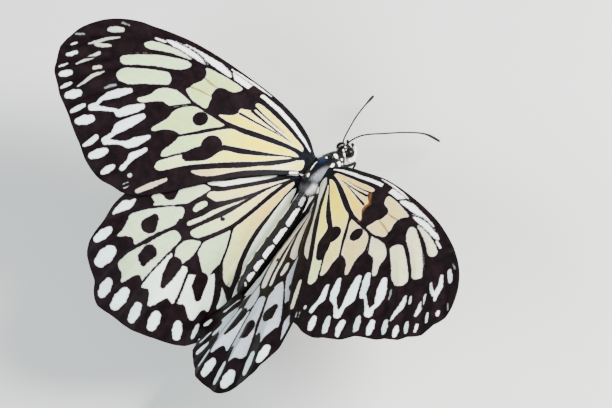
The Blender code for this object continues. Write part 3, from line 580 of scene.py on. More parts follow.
def dress_skin(skin, share, black, pale, rough, height, relief, gloss):
    """Mix black and pale and the two roughnesses by the share, over relief (strength, distance)."""
    tree = skin.id_data
    colour = add_node(tree, "Mix", {"data_type": "RGBA"}, i0=share, i6=black, i7=pale)
    bump = add_node(tree, "Bump", Strength=relief[0], Distance=relief[1], Height=height)
    feed(skin, Base_Color=colour.outputs[2], Roughness=ranged(tree, share, (0, 1), rough), Normal=bump,
         Specular_IOR_Level=gloss)


# Scale-covered wing membrane: rows of flat overlapping scales give a soft, slightly streaked
# matt finish; black scales are a little glossier than white ones. The rows are about 0.1 mm
# apart on the insect and are drawn 0.16 mm apart here so that they show.
def wing_scale_material():
    made, tree, skin = new_material("wing scales on membrane")
    place = add_node(tree, "TexCoord").outputs["Object"]
    depth, share = pale_share(tree, place, 1500.0, 0.28, (-0.10, 0.10))
    cells = add_node(tree, "TexVoronoi", Vector=place, Scale=6200.0)
    fleck = add_node(tree, "TexNoise", Vector=place, Scale=420.0, Detail=5.0, Roughness=0.65)
    bright = ranged(tree, fleck, (0.3, 0.7), (0.86, 1.04))
    grain = ranged(tree, cells.outputs["Color"], (0, 1), (0.93, 1.03))
    border = ranged(tree, depth, (0.0, 0.4), (0.93, 1.0), smooth=True)
    for other in (grain, border):
        bright = add_node(tree, "Math", {"operation": "MULTIPLY"}, i0=bright, i1=other)
    tint = add_node(tree, "Attribute", {"attribute_name": "tint"})
    fading = ranged(tree, depth, (0.0, 0.35), (0.35, 1.0))
    muted = add_node(tree, "HueSaturation", Saturation=fading, Color=tint)
    pale = add_node(tree, "VectorMath", {"operation": "SCALE"}, i0=muted, Scale=bright)
    black = tinted(tree, "ground", ranged(tree, fleck, (0.38, 0.72), (0.7, 2.2)))
    dress_skin(skin, share, black, pale, (0.48, 0.68), cells, (0.35, 0.00004), 0.06)
    return made


WING_SCALES = wing_scale_material()
# The right forewing's worn brown edge between the straw cell and the black patch
CELL_EDGE = [
    (20.6, 2.6, 0.25), (21.8, 1.4, 0.36), (23.1, 0.3, 0.46), (22.7, -1.2, 0.52), (23.9, -3.0, 0.46),
    (25.4, -4.1, 0.3),
]
# Pleats: their slope at the rim, and the mm from the hinge between which it grows
FORE_FAN = (0.34, 38, 62)
plan, points, rim, from_vein, pleat = wing_plan("fore", FORE_FRONT, FORE_BACK, FORE_VEINS, FORE_FAN)
for side, word in SIDES:
    pale, tint = paint(points, FORE_FIELDS, FORE_STREAKS, FORE_VEINS, FORE_MARKS, FORE_BROWN_LINES,
                       rim, side)
    ground = ground_tint(points, sheen_until=16.0, brown_edge=[CELL_EDGE] if side < 0 else None)
    wing = wing_mesh("scaled_forewing_" + word, "fore", side, plan, (pale, tint, ground), from_vein, pleat)
    wing.data.materials.append(WING_SCALES)
    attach(wing, "root")
    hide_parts("forewing_" + word)

# The hindwings. The same membrane and scales; the inner edge bends down beside the abdomen and
# the outer part is folded like a fan, with the veins in the valleys.
HIND_FRONT = [
    (-0.8, -3.9), (1, -3.9), (5, -4.6), (9, -6.9), (13, -10.3), (17, -14.3), (21, -18.9), (25, -23.6),
    (28.5, -28), (31, -31.8), (32, -35), (32.4, -38), (32.3, -42), (32.1, -46), (31.2, -49.5), (29, -52.3),
    (26.3, -54.8), (24.6, -57.2), (22, -58.8), (18, -59.2),
]
HIND_BACK = [
    (-1.4, -6.2), (-3.0, -8), (-4.1, -10), (-4.8, -14), (-5.2, -20), (-5.4, -27), (-5.5, -31),
    (-5.9, -34.8), (-7.5, -38.3), (-9.2, -41.5), (-10, -44), (-10.3, -47), (-9.5, -49.8), (-8, -51),
    (-6.6, -50.8), (-6.2, -52.2), (-5, -53), (-3, -54.2), (0, -55.6), (2, -56.4), (6, -57.8), (10, -58.7),
    (14, -59.3), (18, -59.2),
]
HIND_VEINS = [
    [(0.5, -4.9, 0.3), (2.2, -5.4, 0.27), (5, -8.1, 0.27), (8, -11.5, 0.27), (11, -14.9, 0.27),
        (14, -18.2, 0.27), (15.3, -19.2, 0.27), (17, -19.6, 0.27)],
    [(15.6, -19.8, 0.2), (16, -22.3, 0.3), (17, -25.3, 0.35), (18.3, -27, 0.25), (20.5, -28.9, 0.25),
        (23, -30.9, 0.3), (25.5, -33.3, 0.35), (27.7, -35.8, 0.45), (29.5, -38.5, 0.6), (31.5, -41, 0.6)],
    [(17, -30.5, 0.4), (17, -32.5, 0.4), (18.5, -35.3, 0.3), (20, -38.3, 0.3), (21.5, -41.3, 0.3),
        (22.9, -44, 0.3), (23.9, -47.5, 0.4), (25.2, -54.5, 0.4)],
    [(13.8, -33, 0.3), (14.3, -37, 0.28), (14.9, -41, 0.28), (15.5, -45, 0.28), (15.8, -48, 0.35),
        (16.2, -58, 0.4)],
    [(0.6, -5.0, 0.3), (1.3, -5.5, 0.3), (2.3, -8.5, 0.35), (3.4, -12, 0.4), (4.6, -17, 0.4),
        (5.7, -21.5, 0.4), (6.4, -24, 0.45), (7.5, -26.8, 0.35), (9, -29.5, 0.35), (10, -31.3, 0.3),
        (11.5, -32.2, 0.3), (13.5, -33, 0.3)],
    [(9.9, -31.5, 0.25), (9.6, -34.8, 0.3), (8.6, -38.5, 0.3), (7.9, -41.5, 0.25), (7, -45, 0.25),
        (6.5, -47.5, 0.3), (6, -57, 0.3)],
    [(6.3, -24.5, 0.35), (5.3, -27, 0.3), (4.2, -29.8, 0.3), (3.3, -32.5, 0.4), (2.5, -34.3, 0.6),
        (0, -36.5, 1.0), (-3, -40, 0.9), (-5, -45, 0.9), (-6, -50, 0.9)],
    [(0.3, -8.5, 0.1), (0.3, -10.5, 0.1), (0.3, -14, 0.25), (0.6, -18, 0.45), (0.4, -21, 0.6),
        (0, -24, 0.65), (-0.8, -27, 0.7), (-2, -29.5, 0.75), (-3.3, -31.5, 0.9), (-5, -34.5, 1.0),
        (-6.5, -37.5, 1.2), (-8.5, -41, 1.0)],
]
HIND_FIELDS = [
    ("peach cream", [(2.2, -6.3), (4.5, -8.9), (7.5, -12.3), (10.5, -15.7), (13.5, -19), (15.4, -20.5),
        (15.5, -22), (14.2, -21.8), (12.7, -21.6), (11, -19.6), (8.5, -16.2), (6.3, -13), (4.8, -10.3)]),
    ("peach cream", [(14.7, -23.1), (15.7, -24.0), (16.2, -25.3), (16, -26.8), (15.1, -26.6),
        (14.3, -25.3), (14.0, -24.0)]),
    ("peach cream", [(7.3, -16.2), (9, -18.7), (10.8, -21.5), (12.3, -24), (13.5, -26.8), (15.3, -29.8),
        (15, -30.5), (14.3, -30.2), (12.8, -27.3), (11.3, -24), (9.3, -20), (7.5, -17)]),
    ("peach cream", [(3.0, -8.5), (4.8, -11.5), (6.2, -14.8), (7.7, -18.8), (9.2, -22.8), (10.9, -26),
        (12.7, -29.5), (13.5, -31.2), (12.8, -32), (11.3, -31.5), (9.8, -29.3), (8.3, -26.6), (7.0, -23.8),
        (6.2, -21), (5.1, -16.8), (4.0, -12)]),
    ("blushed cream", [(0.5, -6.6), (1.1, -6.4), (1.5, -7.4), (2.3, -10), (3.2, -13.5), (4.2, -17.5),
        (5.3, -21.8), (5.9, -24.4), (4.9, -27), (3.8, -29.8), (2.9, -32.3), (2, -33.3), (0.5, -34.7),
        (-1, -35.8), (-3.2, -36.3), (-4.3, -35.8), (-2.4, -32.3), (-1.0, -29.5), (0.0, -26.5), (0.8, -23),
        (1.1, -19.5), (0.8, -14), (0.6, -10.5)]),
    ("green white", [(-0.4, -7.2), (0, -8.6), (0, -11), (0, -14), (-0.3, -18), (-0.6, -21), (-1.2, -24.5),
        (-2.2, -27.5), (-3.6, -31.2), (-5.2, -33), (-5.3, -30), (-5.1, -26), (-4.7, -20), (-3.7, -14),
        (-1.9, -10)]),
    ("green white", [(-1.8, -37.7), (-3.5, -38), (-5.5, -39), (-7.5, -40), (-8, -41.3), (-8.3, -43.3),
        (-7, -42.7), (-5, -42.3), (-4, -41.8), (-3, -40.3)]),
    ("green white", [(2.8, -36.1), (3.2, -36.6), (4.5, -37.8), (7, -39.4), (7.9, -40), (7.7, -41.5),
        (6.8, -45), (6.3, -47.4), (5, -46.6), (4, -47), (2.5, -48.2), (1.5, -48.6), (0.8, -48.4),
        (0.2, -46.7), (-0.4, -45.3), (-1.5, -44.5), (-3.2, -44.2), (-2, -41.5), (0, -38.8)]),
    ("green cream", [(6.3, -25.3), (7.5, -27.5), (8.8, -30), (9.6, -31.7), (9.7, -33.5), (9, -34.8),
        (8.2, -35.3), (7.3, -36.5), (6.3, -38), (5, -37.6), (4, -37.6), (3.7, -34.5), (3.3, -33), (4, -31),
        (5, -28.3)]),
    ("green cream", [(10.3, -31.9), (12, -32.8), (13.2, -34), (13.8, -36), (13.7, -37.3), (13, -38.5),
        (12.4, -39.8), (11, -39.7), (10.5, -38), (9.9, -35.7)]),
    ("green white", [(9.3, -39), (8.3, -42), (7.4, -45.5), (7.1, -48.2), (7.6, -48.2), (8.8, -47.7),
        (9.6, -48.6), (10.3, -50.5), (11.2, -51.8), (11.8, -51.5), (12.5, -50), (13.7, -48.7),
        (15.4, -49.4), (15.6, -48), (15.2, -44.5), (14.8, -41), (14.1, -38.3), (12.5, -40.5)]),
    ("green cream", [(14.3, -34.4), (15.5, -33.5), (16.6, -33.5), (17.6, -34.8), (18.7, -37), (20, -40),
        (21, -41.5), (22.3, -44), (23, -46), (23.4, -47.8), (22.5, -48.8), (21, -49.3), (20.3, -50.5),
        (20, -51.1), (19.6, -50.8), (19, -49.5), (18.3, -48), (17.3, -47.2), (16.3, -47.9), (15.8, -47.7),
        (15.8, -45), (15.3, -41), (14.7, -37.5)]),
    ("green cream", [(17.2, -29), (18, -27.8), (19, -28.2), (20.8, -29.5), (22.8, -31.3), (24.5, -33),
        (26.3, -35), (27.6, -36.9), (27.2, -38), (26.7, -41), (27, -42.7), (25, -41.3), (23.4, -41),
        (22.8, -41.9), (22.2, -41.6), (21, -39), (19.8, -36.6), (18.3, -34), (17.3, -32.3), (17, -30.5)]),
    ("green cream", [(15.8, -20), (17.5, -20), (18.5, -21), (20, -22.8), (21.4, -24.6), (21.1, -27),
        (21.6, -28.1), (23, -28.5), (24.6, -28.3), (26, -30), (24.5, -30.7), (24.3, -31.6), (22, -30),
        (20, -28), (18.2, -26.3), (17.2, -24), (16.3, -21.8)]),
    ("green white", [(28.7, -33), (29.5, -34), (30.8, -35), (31.2, -36.5), (31.4, -38), (31.3, -39.3),
        (30.5, -38.3), (29.3, -36.8), (28.4, -35.2)]),
]
HIND_STREAKS = [
    ("green white", [(5.5, -7.5, 0.3), (8, -10.6, 0.5), (11, -13.8, 0.7), (13.5, -16.6, 0.75),
        (17, -19.0, 0.35)]),
    ("white", [(1.5, -4.3, 0.3), (3.6, -5.5, 0.45)]),
    ("rim", [(29.6, -42.9, 0.9), (30.1, -44.4, 1.25), (30.6, -45.9, 0.9)]),
    ("rim", [(26.4, -46.6, 1.3), (26.8, -48.4, 1.7), (27.2, -50.2, 1.3)]),
    ("rim", [(22.7, -53.2, 1.15), (22.7, -54.5, 1.55), (22.6, -55.8, 1.2)]),
    ("rim", [(18, -52.6, 1.05), (18.1, -54.6, 1.45), (18.2, -56.7, 1.1)]),
    ("rim", [(13.4, -53.6, 1), (13.1, -55.2, 1.3), (12.9, -56.8, 1)]),
    ("rim", [(8.7, -52.7, 1), (8.3, -54.2, 1.3), (8, -55.7, 1)]),
    ("rim", [(3.2, -51.4, 0.92), (2.5, -52.7, 1.2), (1.7, -54, 0.88)]),
    ("rim", [(-2.7, -49, 0.86), (-3.1, -50.2, 1.15), (-3.4, -51.3, 0.86)]),
    ("rim", [(-7.8, -46.2, 0.5), (-8.1, -47, 0.68), (-8.5, -47.7, 0.5)]),
]
HIND_MARKS = [
    [(4.8, -10.5, 0.1), (6.5, -13.5, 0.25), (8.5, -16.8, 0.35), (11, -20.3, 0.5), (12.8, -22.5, 0.7),
        (14, -25, 0.5), (15, -27.5, 0.5), (16, -30, 0.5)],
    [(5.3, -11.8, 0.1), (6.8, -15, 0.25), (8.3, -19, 0.35), (9.9, -22.8, 0.45), (11.5, -26, 0.45),
        (13.3, -29.3, 0.5), (14.5, -31.5, 0.7)],
    [(9.2, -24.1, 0.5), (9.4, -24.3, 0.5)],
    [(13, -22.3, 0.55), (16, -22.5, 0.55)],
    [(4.8, -39.2, 1.9), (4.3, -41, 1.9), (2.9, -43.1, 1.1)],
    [(6.6, -38, 0.9), (8.6, -36.2, 0.8)],
    [(12, -40, 1.8), (11.7, -43.5, 1.4), (11.4, -46, 0.7)],
    [(18.5, -41.3, 1.85), (18.8, -43.1, 1.6), (18.1, -44.5, 0.7)],
    [(22.2, -34.0, 1.15), (22.2, -36.1, 2.1)],
]
# Tints of the hindwing's cells, left and right; the right ones are painted light and shade, pinkish white
# near the body and greyer and bluer towards the margin
for name, left_pair, right_pair in (
        ("peach cream", ("#E2CC74", "#BCD490"), ("#DEC6AA", "#CFC8B8")),
        ("blushed cream", ("#E2C460", "#D2DC98"), ("#DDC9BA", "#D8CBBE")),
        ("green cream", ("#C6D290", "#B6CE9C"), ("#BFC0B4", "#AEB6BC")),
        ("green white", ("#E4EFD0", "#DDF0DC"), ("#DAD4C8", "#BCC6D2"))):
    SCALE_TINTS[name], RIGHT_PAINTED_LIGHT_TINTS[name] = left_pair, right_pair
# Painted shade: the right hindwing's inner margin, curled up under the abdomen, is painted black where it
# lies in the abdomen's shade
RIGHT_HIND_PAINTED_SHADE = [
    [(-1.4, -7.5, 1.2), (-3.2, -10, 1.8), (-4.2, -14, 2.6), (-4.6, -20, 3.2), (-4.8, -27, 3.4),
        (-5.2, -35, 3.4), (-8, -41, 2.6)],
]
HIND_BROWN_LINES = [[(-3.2, -35.8, 0.2), (-3.2, -37.8, 0.2)]]
HIND_FAN = (0.33, 32, 50)
plan, points, rim, from_vein, pleat = wing_plan("hind", HIND_FRONT, HIND_BACK, HIND_VEINS, HIND_FAN)
for side, word in SIDES:
    # On the right the marks include the black painted shade beside the abdomen
    marks = HIND_MARKS + (RIGHT_HIND_PAINTED_SHADE if side < 0 else [])
    pale, tint = paint(points, HIND_FIELDS, HIND_STREAKS, HIND_VEINS, marks, HIND_BROWN_LINES,
                       rim, side)
    ground = ground_tint(points, sheen_until=14.0)
    wing = wing_mesh("scaled_hindwing_" + word, "hind", side, plan, (pale, tint, ground), from_vein, pleat)
    wing.data.materials.append(WING_SCALES)
    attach(wing, "root")
    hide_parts("hindwing_" + word)

# The thorax. A barrel of hardened black chitin that holds the flight muscles. White scales lie on
# it in spots and stripes, a soft grey coat covers its back, and each forewing root is under a
# small domed flap.
# Rings: forward, middle height, half width, half height
THORAX = [
    (6.4, -2.85, 0, 0), (6.3, -2.85, 1.1, 1.0), (5.9, -2.75, 1.7, 1.55), (5.2, -2.55, 2.3, 2.0),
    (4.2, -2.35, 2.8, 2.45), (3.1, -2.15, 3.25, 3.0), (1.8, -1.9, 3.7, 3.65), (0.3, -1.8, 4.05, 3.95),
    (-1.3, -1.75, 4.1, 4.0), (-2.9, -1.6, 3.8, 3.75), (-4.4, -1.3, 3.2, 3.2), (-5.7, -0.95, 2.4, 2.5),
    (-6.7, -0.7, 1.5, 1.7), (-7.2, -0.6, 0.8, 0.9), (-7.4, -0.6, 0, 0),
]


def both_sides(marks):
    """The marks and their mirror images on the body's other side."""
    return marks + [(tint, [(x, -t, w) for x, t, w in line]) for tint, line in marks]


# Scale marks: tint, then forward, degrees from the top of the back, half width in mm
THORAX_MARKS = [
    ("white", [(5.15, -10, 0.36), (4.85, -27, 0.34)]),
    ("white", [(5.3, 45, 0.24), (4.9, 54, 0.26)]),
    ("white", [(5.3, -62, 0.18), (5.1, -68, 0.18)]),
    ("white", [(3.3, 6, 0.22), (3.25, 8, 0.22)]),
    ("white", [(2.9, -40, 0.3), (1.8, -43, 0.34)]),
    ("white", [(2.9, 40, 0.24), (2.2, 41, 0.22)]),
    ("white", [(1.0, 17, 0.13), (-0.3, 17, 0.18), (-1.5, 15, 0.12)]),
    ("white", [(1.6, -44, 0.16), (0.2, -49, 0.12), (-0.8, -50, 0.08)]),
    ("white", [(-2.6, 11, 0.3), (-3.1, 10, 0.28)]),
    ("white", [(-2.6, -60, 0.18), (-2.9, -59, 0.18)]),
] + both_sides([
    ("white", [(4.15, 56, 0.34), (3.9, 68, 0.34)]),
    ("white", [(3.9, 66, 0.24), (3.3, 74, 0.13)]),
    ("white", [(4.45, 85, 0.2), (4.35, 87, 0.2)]),
    ("rust", [(3.4, 86, 0.24), (3.2, 90, 0.24)]),
    ("white", [(1.0, 112, 0.5), (-0.5, 120, 0.5)]),
    ("white", [(-3.6, 108, 0.5), (-4.6, 104, 0.4)]),
])
for name, tint in (("rust", "#7E2318"), ("mist", "#A9ADB3"), ("ivory", "#EFE3D2")):
    SCALE_TINTS[name] = (tint, tint)
BODY_BLACK = "#08080B"
# A painted blue sheen on the black between the thorax's shoulders
THORAX_PAINTED_SHEEN = "#101E38"


def ring_grid(rings, along, around):
    """Forward place, angle, middle height, half width and half height on a grid over the rings."""
    line = curve(rings, along)
    line[:, 2:] = np.clip(line[:, 2:], 0, None)
    line[[0, -1], 2:] = 0
    angle = np.linspace(-180, 180, around, endpoint=False)
    return line[:, None, :] * np.ones((1, around, 1)), angle[None, :] * np.ones((along, 1))


def ring_points(line, angle, lift=0.0):
    """Points of the rings at these angles from the top, raised outward by lift in mm."""
    t = np.radians(angle)
    wide, tall = line[..., 2], line[..., 3]
    grow = np.where(wide > 0, lift, 0)
    return np.stack([line[..., 0], (wide + grow) * np.sin(t), line[..., 1] + (tall + grow) * np.cos(t)], -1)


def ring_quads(along, around):
    """Quads between each closed ring of points and the next."""
    i, j = np.meshgrid(np.arange(along - 1), np.arange(around), indexing="ij")
    a, b = (i * around + j).reshape(-1), (i * around + (j + 1) % around).reshape(-1)
    return np.stack([a, b, b + around, a + around], -1)


def arc_marks(marks, rings):
    """Marks in degrees from the top turned into marks in mm of arc, on the rings' mean radius."""
    table = np.array(sorted(rings))
    radius = (table[:, 2] + table[:, 3]) / 2
    return [(tint, [(x, math.radians(t) * np.interp(x, table[:, 0], radius), w) for x, t, w in line])
            for tint, line in marks]


def body_marks(x, angle, radius, marks, rings):
    """Depth into the scale marks in mm and their tint, at places given by x and angle."""
    flat = np.stack([x, np.radians(angle) * np.maximum(radius, 0.2)], -1)
    pale = np.full(len(flat), -REACH)
    weight, tint = np.full(len(flat), 1e-6), np.zeros((len(flat), 3))
    for name, line in arc_marks(marks, rings):
        depth = stroke_depth(flat, [line])
        w = np.exp(np.clip(depth, -REACH, 0.4) * 9)
        tint += w[:, None] * srgb(SCALE_TINTS[name][0])
        weight += w
        pale = np.maximum(pale, depth)
    return pale, tint / weight[:, None]


def ring_body(name, rings, marks, along, around, lift, ground):
    """A closed round body over the rings, with its scale marks; lift(x, angle) is relief in mm."""
    line, angle = ring_grid(rings, along, around)
    x = line[..., 0]
    made = mesh_piece(name, to_row(ring_points(line, angle, lift(x, angle)).reshape(-1, 3)),
                      ring_quads(along, around))
    radius = ((line[..., 2] + line[..., 3]) / 2).ravel()
    pale, tint = body_marks(x.ravel(), angle.ravel(), radius, marks, rings)
    set_colours(made, pale, tint, ground(x.ravel(), angle.ravel()))
    weld(made)
    return made


# Hardened black cuticle under a thin dust of scales: a glossy blue-black ground, matt white
# scales where the marks are, and fine pits that break up the shine. The smoother a shell is and
# the finer its pits, the wetter it looks.
def body_material(name, rough, grain):
    made, tree, skin = new_material(name)
    place = add_node(tree, "TexCoord").outputs["Object"]
    share = pale_share(tree, place, 3000.0, 0.5, (-0.06, 0.08))[1]
    pits = add_node(tree, "TexNoise", Vector=place, Scale=grain, Detail=4.0)
    shade = ranged(tree, pits, (0.3, 0.7), (0.7, 1.2))
    black, pale = tinted(tree, "ground", shade), tinted(tree, "tint", shade)
    dress_skin(skin, share, black, pale, (rough, 0.75), pits, (0.5, 0.00005), 0.16)
    return made


def thorax_relief(x, angle):
    """Seams of the back plates as grooves 0.1 mm deep, the two wing flaps as low domes, and the
    hard rear plate."""
    a = np.abs(angle)
    back = smooth_step(-a, -75, -55)
    collar = 0.10 * np.exp(-((x - 4.55) / 0.18) ** 2)
    rear = 0.10 * np.exp(-((x + 3.6 + 0.012 * a) / 0.2) ** 2) * back
    middle = 0.06 * np.exp(-(angle / 3.5) ** 2) * smooth_step(x, -3.4, -2.6) * smooth_step(-x, -4.3, -3.6)
    flaps = 0.28 * np.exp(-((x - 1.5) / 1.1) ** 2 - ((a - 64) / 15) ** 2)
    hard = 0.12 * np.exp(-((x + 4.5) / 0.7) ** 2) * back
    return flaps + hard - (collar + rear + middle)


def tuft_share(x, angle):
    """Where the cream tufts stand, at the rear of the thorax on the right."""
    return np.exp(-np.abs((x + 5.2) / 1.6) ** 4 - np.abs((angle + 56) / 26) ** 4)


def silver_share(x, angle):
    """Where the coat is silver grey: a patch on the hind half of the back that leans to the right
    towards the rear, and the rear edge."""
    slant = -28 - 4 * (x + 1.1)
    patch = np.exp(-np.abs((x + 1.1) / 2.2) ** 4 - np.abs((angle - slant) / 17) ** 4)
    rear = 0.16 * smooth_step(-x, 4.8, 5.8) * smooth_step(-np.abs(angle), -100, -70)
    return np.maximum(patch, rear)


def thorax_ground(x, angle):
    """Black with a painted blue sheen between the shoulders, paling where the grey coat and tufts grow."""
    blue = np.exp(-((x - 2.0) / 0.85) ** 2 - ((angle - 6) / 12) ** 2)
    colour = blend(BODY_BLACK, THORAX_PAINTED_SHEEN, blue)
    colour = blend(colour, "#8C9099", 0.55 * silver_share(x, angle))
    return blend(colour, "#DCDAD2", 0.8 * tuft_share(x, angle))


THORAX_SHELL = body_material("black thorax shell", 0.34, 2600.0)
thorax = ring_body("scaled_thorax", THORAX, THORAX_MARKS, 230, 240, thorax_relief, thorax_ground)
thorax.data.materials.append(THORAX_SHELL)
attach(thorax, "root")
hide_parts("thorax")

# A hair's end radius and how deep its root sits, in mm, and half of its patch in OFBake
HAIR_POINT, ROOT_DEPTH, PATCH_HALF = 0.0015, 0.05, 0.0015


def hair_piece(name, spine, side, other, width, colour, home):
    """Tapered three-sided hairs along their spines, in one mesh.

    The radius is width * (1 - share along) ^ 0.6 and ends in a fine point. Each hair has one
    colour, and in OFBake it lies within a patch 0.003 across at its home on the skin.
    """
    count, joints = spine.shape[:2]
    thick = width * (1 - np.linspace(0, 1, joints)) ** 0.6
    thick[-1] = HAIR_POINT
    turn = np.radians([90, 210, 330])[:, None]
    ring = side[:, None, None] * np.cos(turn) + other[:, None, None] * np.sin(turn)
    spots = spine[:, :, None] + ring * thick[:, None, None]
    first, end = (np.arange(count) * 3 * joints)[:, None, None], 3 * joints - 3
    quads = (ring_quads(joints, 3)[None] + first).reshape(-1, 4)
    caps = (np.array([[0, 2, 1], [end, end + 1, end + 2]])[None] + first).reshape(-1, 3)
    made = mesh_piece(name, to_row(spots.reshape(-1, 3)), quads, caps)
    rgba = np.repeat(np.c_[np.clip(colour, 0, 1), np.ones(count)], 3 * joints, axis=0)
    made.data.attributes.new("hair", "FLOAT_COLOR", "POINT").data.foreach_set("color", rgba.ravel())
    patch = np.stack([np.tile([-1, 1, 0], joints), np.repeat(np.linspace(-1, 1, joints), 3)], -1)
    place = ((home * 0.99 + 0.005)[:, None] + patch[None] * PATCH_HALF).reshape(-1, 2)
    corner = np.empty(len(made.data.loops), np.int32)
    made.data.loops.foreach_get("vertex_index", corner)
    made.data.uv_layers.new(name="OFBake").data.foreach_set("uv", place[corner].astype(np.float32).ravel())
    return made


def hair_coat(name, rings, roots, length, width, lean, droop, marks, dark, seed, blow=0.25):
    """A coat of hairs rooted on the rings, in the marks' tints and elsewhere dark(x, angle).

    Each hair runs from its root along normal * (1 - lean) + backward * lean, blown to its own
    side, and bends back and a little down by droop of its length. Its home is the root's share
    round and along.
    """
    rng = np.random.default_rng(seed)
    x, angle = roots
    count = len(x)
    table = np.array(sorted(rings))
    mid, wide, tall = (np.interp(x, table[:, 0], table[:, k]) for k in (1, 2, 3))
    t = np.radians(angle)
    root = np.stack([x, wide * np.sin(t), mid + tall * np.cos(t)], -1)
    normal = np.stack([np.zeros(count), np.sin(t) / wide, np.cos(t) / tall], -1)
    normal /= np.linalg.norm(normal, axis=1)[:, None]
    grow = normal * (1 - lean) + np.array([-1.0, 0, 0]) * lean + rng.normal(0, blow, (count, 3))
    grow /= np.linalg.norm(grow, axis=1)[:, None]
    long = (length * rng.uniform(0.65, 1.2, count))[:, None]
    steps = np.linspace(0, 1, 5)
    spine = root[:, None] - normal[:, None] * ROOT_DEPTH + grow[:, None] * (long * steps)[..., None]
    spine = spine + np.array([-1.0, 0, -0.15]) * (droop * long * steps ** 2)[..., None]
    side = np.cross(grow, rng.normal(0, 1, (count, 3)))
    side /= np.linalg.norm(side, axis=1)[:, None]
    pale, tint = body_marks(x, angle, (wide + tall) / 2, marks, rings)
    shade = rng.uniform(0.8, 1.15, count)[:, None]
    colour = blend(dark(x, angle), tint, smooth_step(pale, -0.15, 0.05)) * shade
    home = np.stack([angle / 360 + 0.5, (x - table[0, 0]) / (table[-1, 0] - table[0, 0])], -1)
    return hair_piece(name, spine, side, np.cross(grow, side), width, colour, home)


# Fine hair of chitin: each hair takes its colour from the mark it grows on, with a soft shine
# along it and slightly darker and lighter hairs side by side.
def hair_material():
    made, tree, skin = new_material("fine insect hair")
    place = add_node(tree, "TexCoord").outputs["Object"]
    fleck = add_node(tree, "TexNoise", Vector=place, Scale=900.0, Detail=2.0)
    colour = tinted(tree, "hair", ranged(tree, fleck, (0.3, 0.7), (0.85, 1.15)))
    feed(skin, Base_Color=colour, Roughness=0.5, Specular_IOR_Level=0.16, Sheen_Weight=0.04)
    return made


HAIR = hair_material()


def scatter(count, x_range, angle_range, seed, keep):
    """Even random roots; keep(x, angle) is the share of roots that stay."""
    rng = np.random.default_rng(seed)
    x, angle = rng.uniform(*x_range, count), rng.uniform(*angle_range, count)
    stay = rng.uniform(0, 1, count) < keep(x, angle)
    return x[stay], angle[stay]


def thorax_tone(x, angle):
    """Black hair on the sides, silver grey on the back, cream where the rear tufts stand."""
    streak = (0.85 + 0.3 * np.sin(angle * 0.35 + x * 0.6) * np.cos(x * 1.7))[:, None]
    colour = blend("#060608", srgb("#B4B8BE") * streak, silver_share(x, angle))
    return blend(colour, "#F2F0E8", tuft_share(x, angle))


roots = scatter(9000, (-7.0, 6.0), (-180, 180), seed=5,
                keep=lambda x, angle: 0.2 + 0.8 * silver_share(x, angle))
coat = hair_coat("thorax_hair", THORAX, roots, length=0.62, width=0.03, lean=0.72, droop=0.25,
                 marks=THORAX_MARKS, dark=thorax_tone, seed=6)
coat.data.materials.append(HAIR)
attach(coat, "root")

# The head. A round capsule of black chitin between the eyes, with white scale spots on its crown,
# short black hair and an ivory patch behind each eye.
HEAD = [
    (9.35, -3.55, 0, 0), (9.15, -3.55, 0.8, 0.85), (8.65, -3.5, 1.3, 1.4), (7.9, -3.45, 1.55, 1.7),
    (7.1, -3.4, 1.6, 1.75), (6.4, -3.3, 1.45, 1.6), (5.8, -3.1, 1.1, 1.2), (5.3, -3.0, 0, 0),
]
HEAD_MARKS = [
    ("white", [(8.9, -9, 0.1), (8.85, 4, 0.1)]),
    ("white", [(8.3, -17, 0.12), (8.2, -21, 0.12)]),
    ("white", [(8.3, 24, 0.12), (8.2, 28, 0.12)]),
    ("white", [(7.7, 36, 0.13), (7.6, 38, 0.13)]),
    ("white", [(7.9, -43, 0.13), (7.8, -46, 0.13)]),
    ("white", [(7.35, -22, 0.2), (7.2, -30, 0.18)]),
] + both_sides([
    ("ivory", [(6.75, 52, 0.26), (6.35, 80, 0.46), (5.95, 112, 0.36)]),
    ("white", [(7.4, 150, 0.5), (8.4, 150, 0.45)]),
])


def plain(shade):
    """One colour everywhere, as a function of place."""
    return lambda x, angle=None: np.tile(srgb(shade), (len(x), 1))


def head_relief(x, angle):
    """One seam across the crown, 0.07 mm deep."""
    return -0.07 * np.exp(-((x - 8.2) / 0.12) ** 2 - (angle / 40) ** 2)


head = ring_body("scaled_head", HEAD, HEAD_MARKS, 120, 150, head_relief, plain(BODY_BLACK))
head.data.materials.append(body_material("black head capsule", 0.4, 5200.0))
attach(head, "root")
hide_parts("head")
roots = scatter(900, (5.9, 9.0), (-110, 110), seed=11,
                keep=lambda x, angle: 0.9 - 0.6 * smooth_step(np.abs(angle), 40, 80))
coat = hair_coat("head_hair", HEAD, roots, length=0.32, width=0.022, lean=0.3, droop=0.15,
                 marks=HEAD_MARKS, dark=plain(BODY_BLACK), seed=12)
coat.data.materials.append(HAIR)
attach(coat, "root")

# The eyes. Each is a dome of several thousand clear lenses over dark pigment, brown-black with
# paler flecks; it is set into the side of the head capsule.
EYE_CENTRE = (7.75, 1.4, -3.5)
EYE = 1.35


def ball_mesh(name, centre, radius, columns=96, rows=64):
    """A closed ball with poles at its sides: centre + radius * (sin v cos u, cos v, sin v sin u)."""
    v, u = np.meshgrid(np.linspace(0, math.pi, rows),
                       np.linspace(0, 2 * math.pi, columns, endpoint=False), indexing="ij")
    unit = np.stack([np.sin(v) * np.cos(u), np.cos(v), np.sin(v) * np.sin(u)], -1)
    made = mesh_piece(name, to_row((unit * radius + centre).reshape(-1, 3)), ring_quads(rows, columns))
    weld(made)
    return made


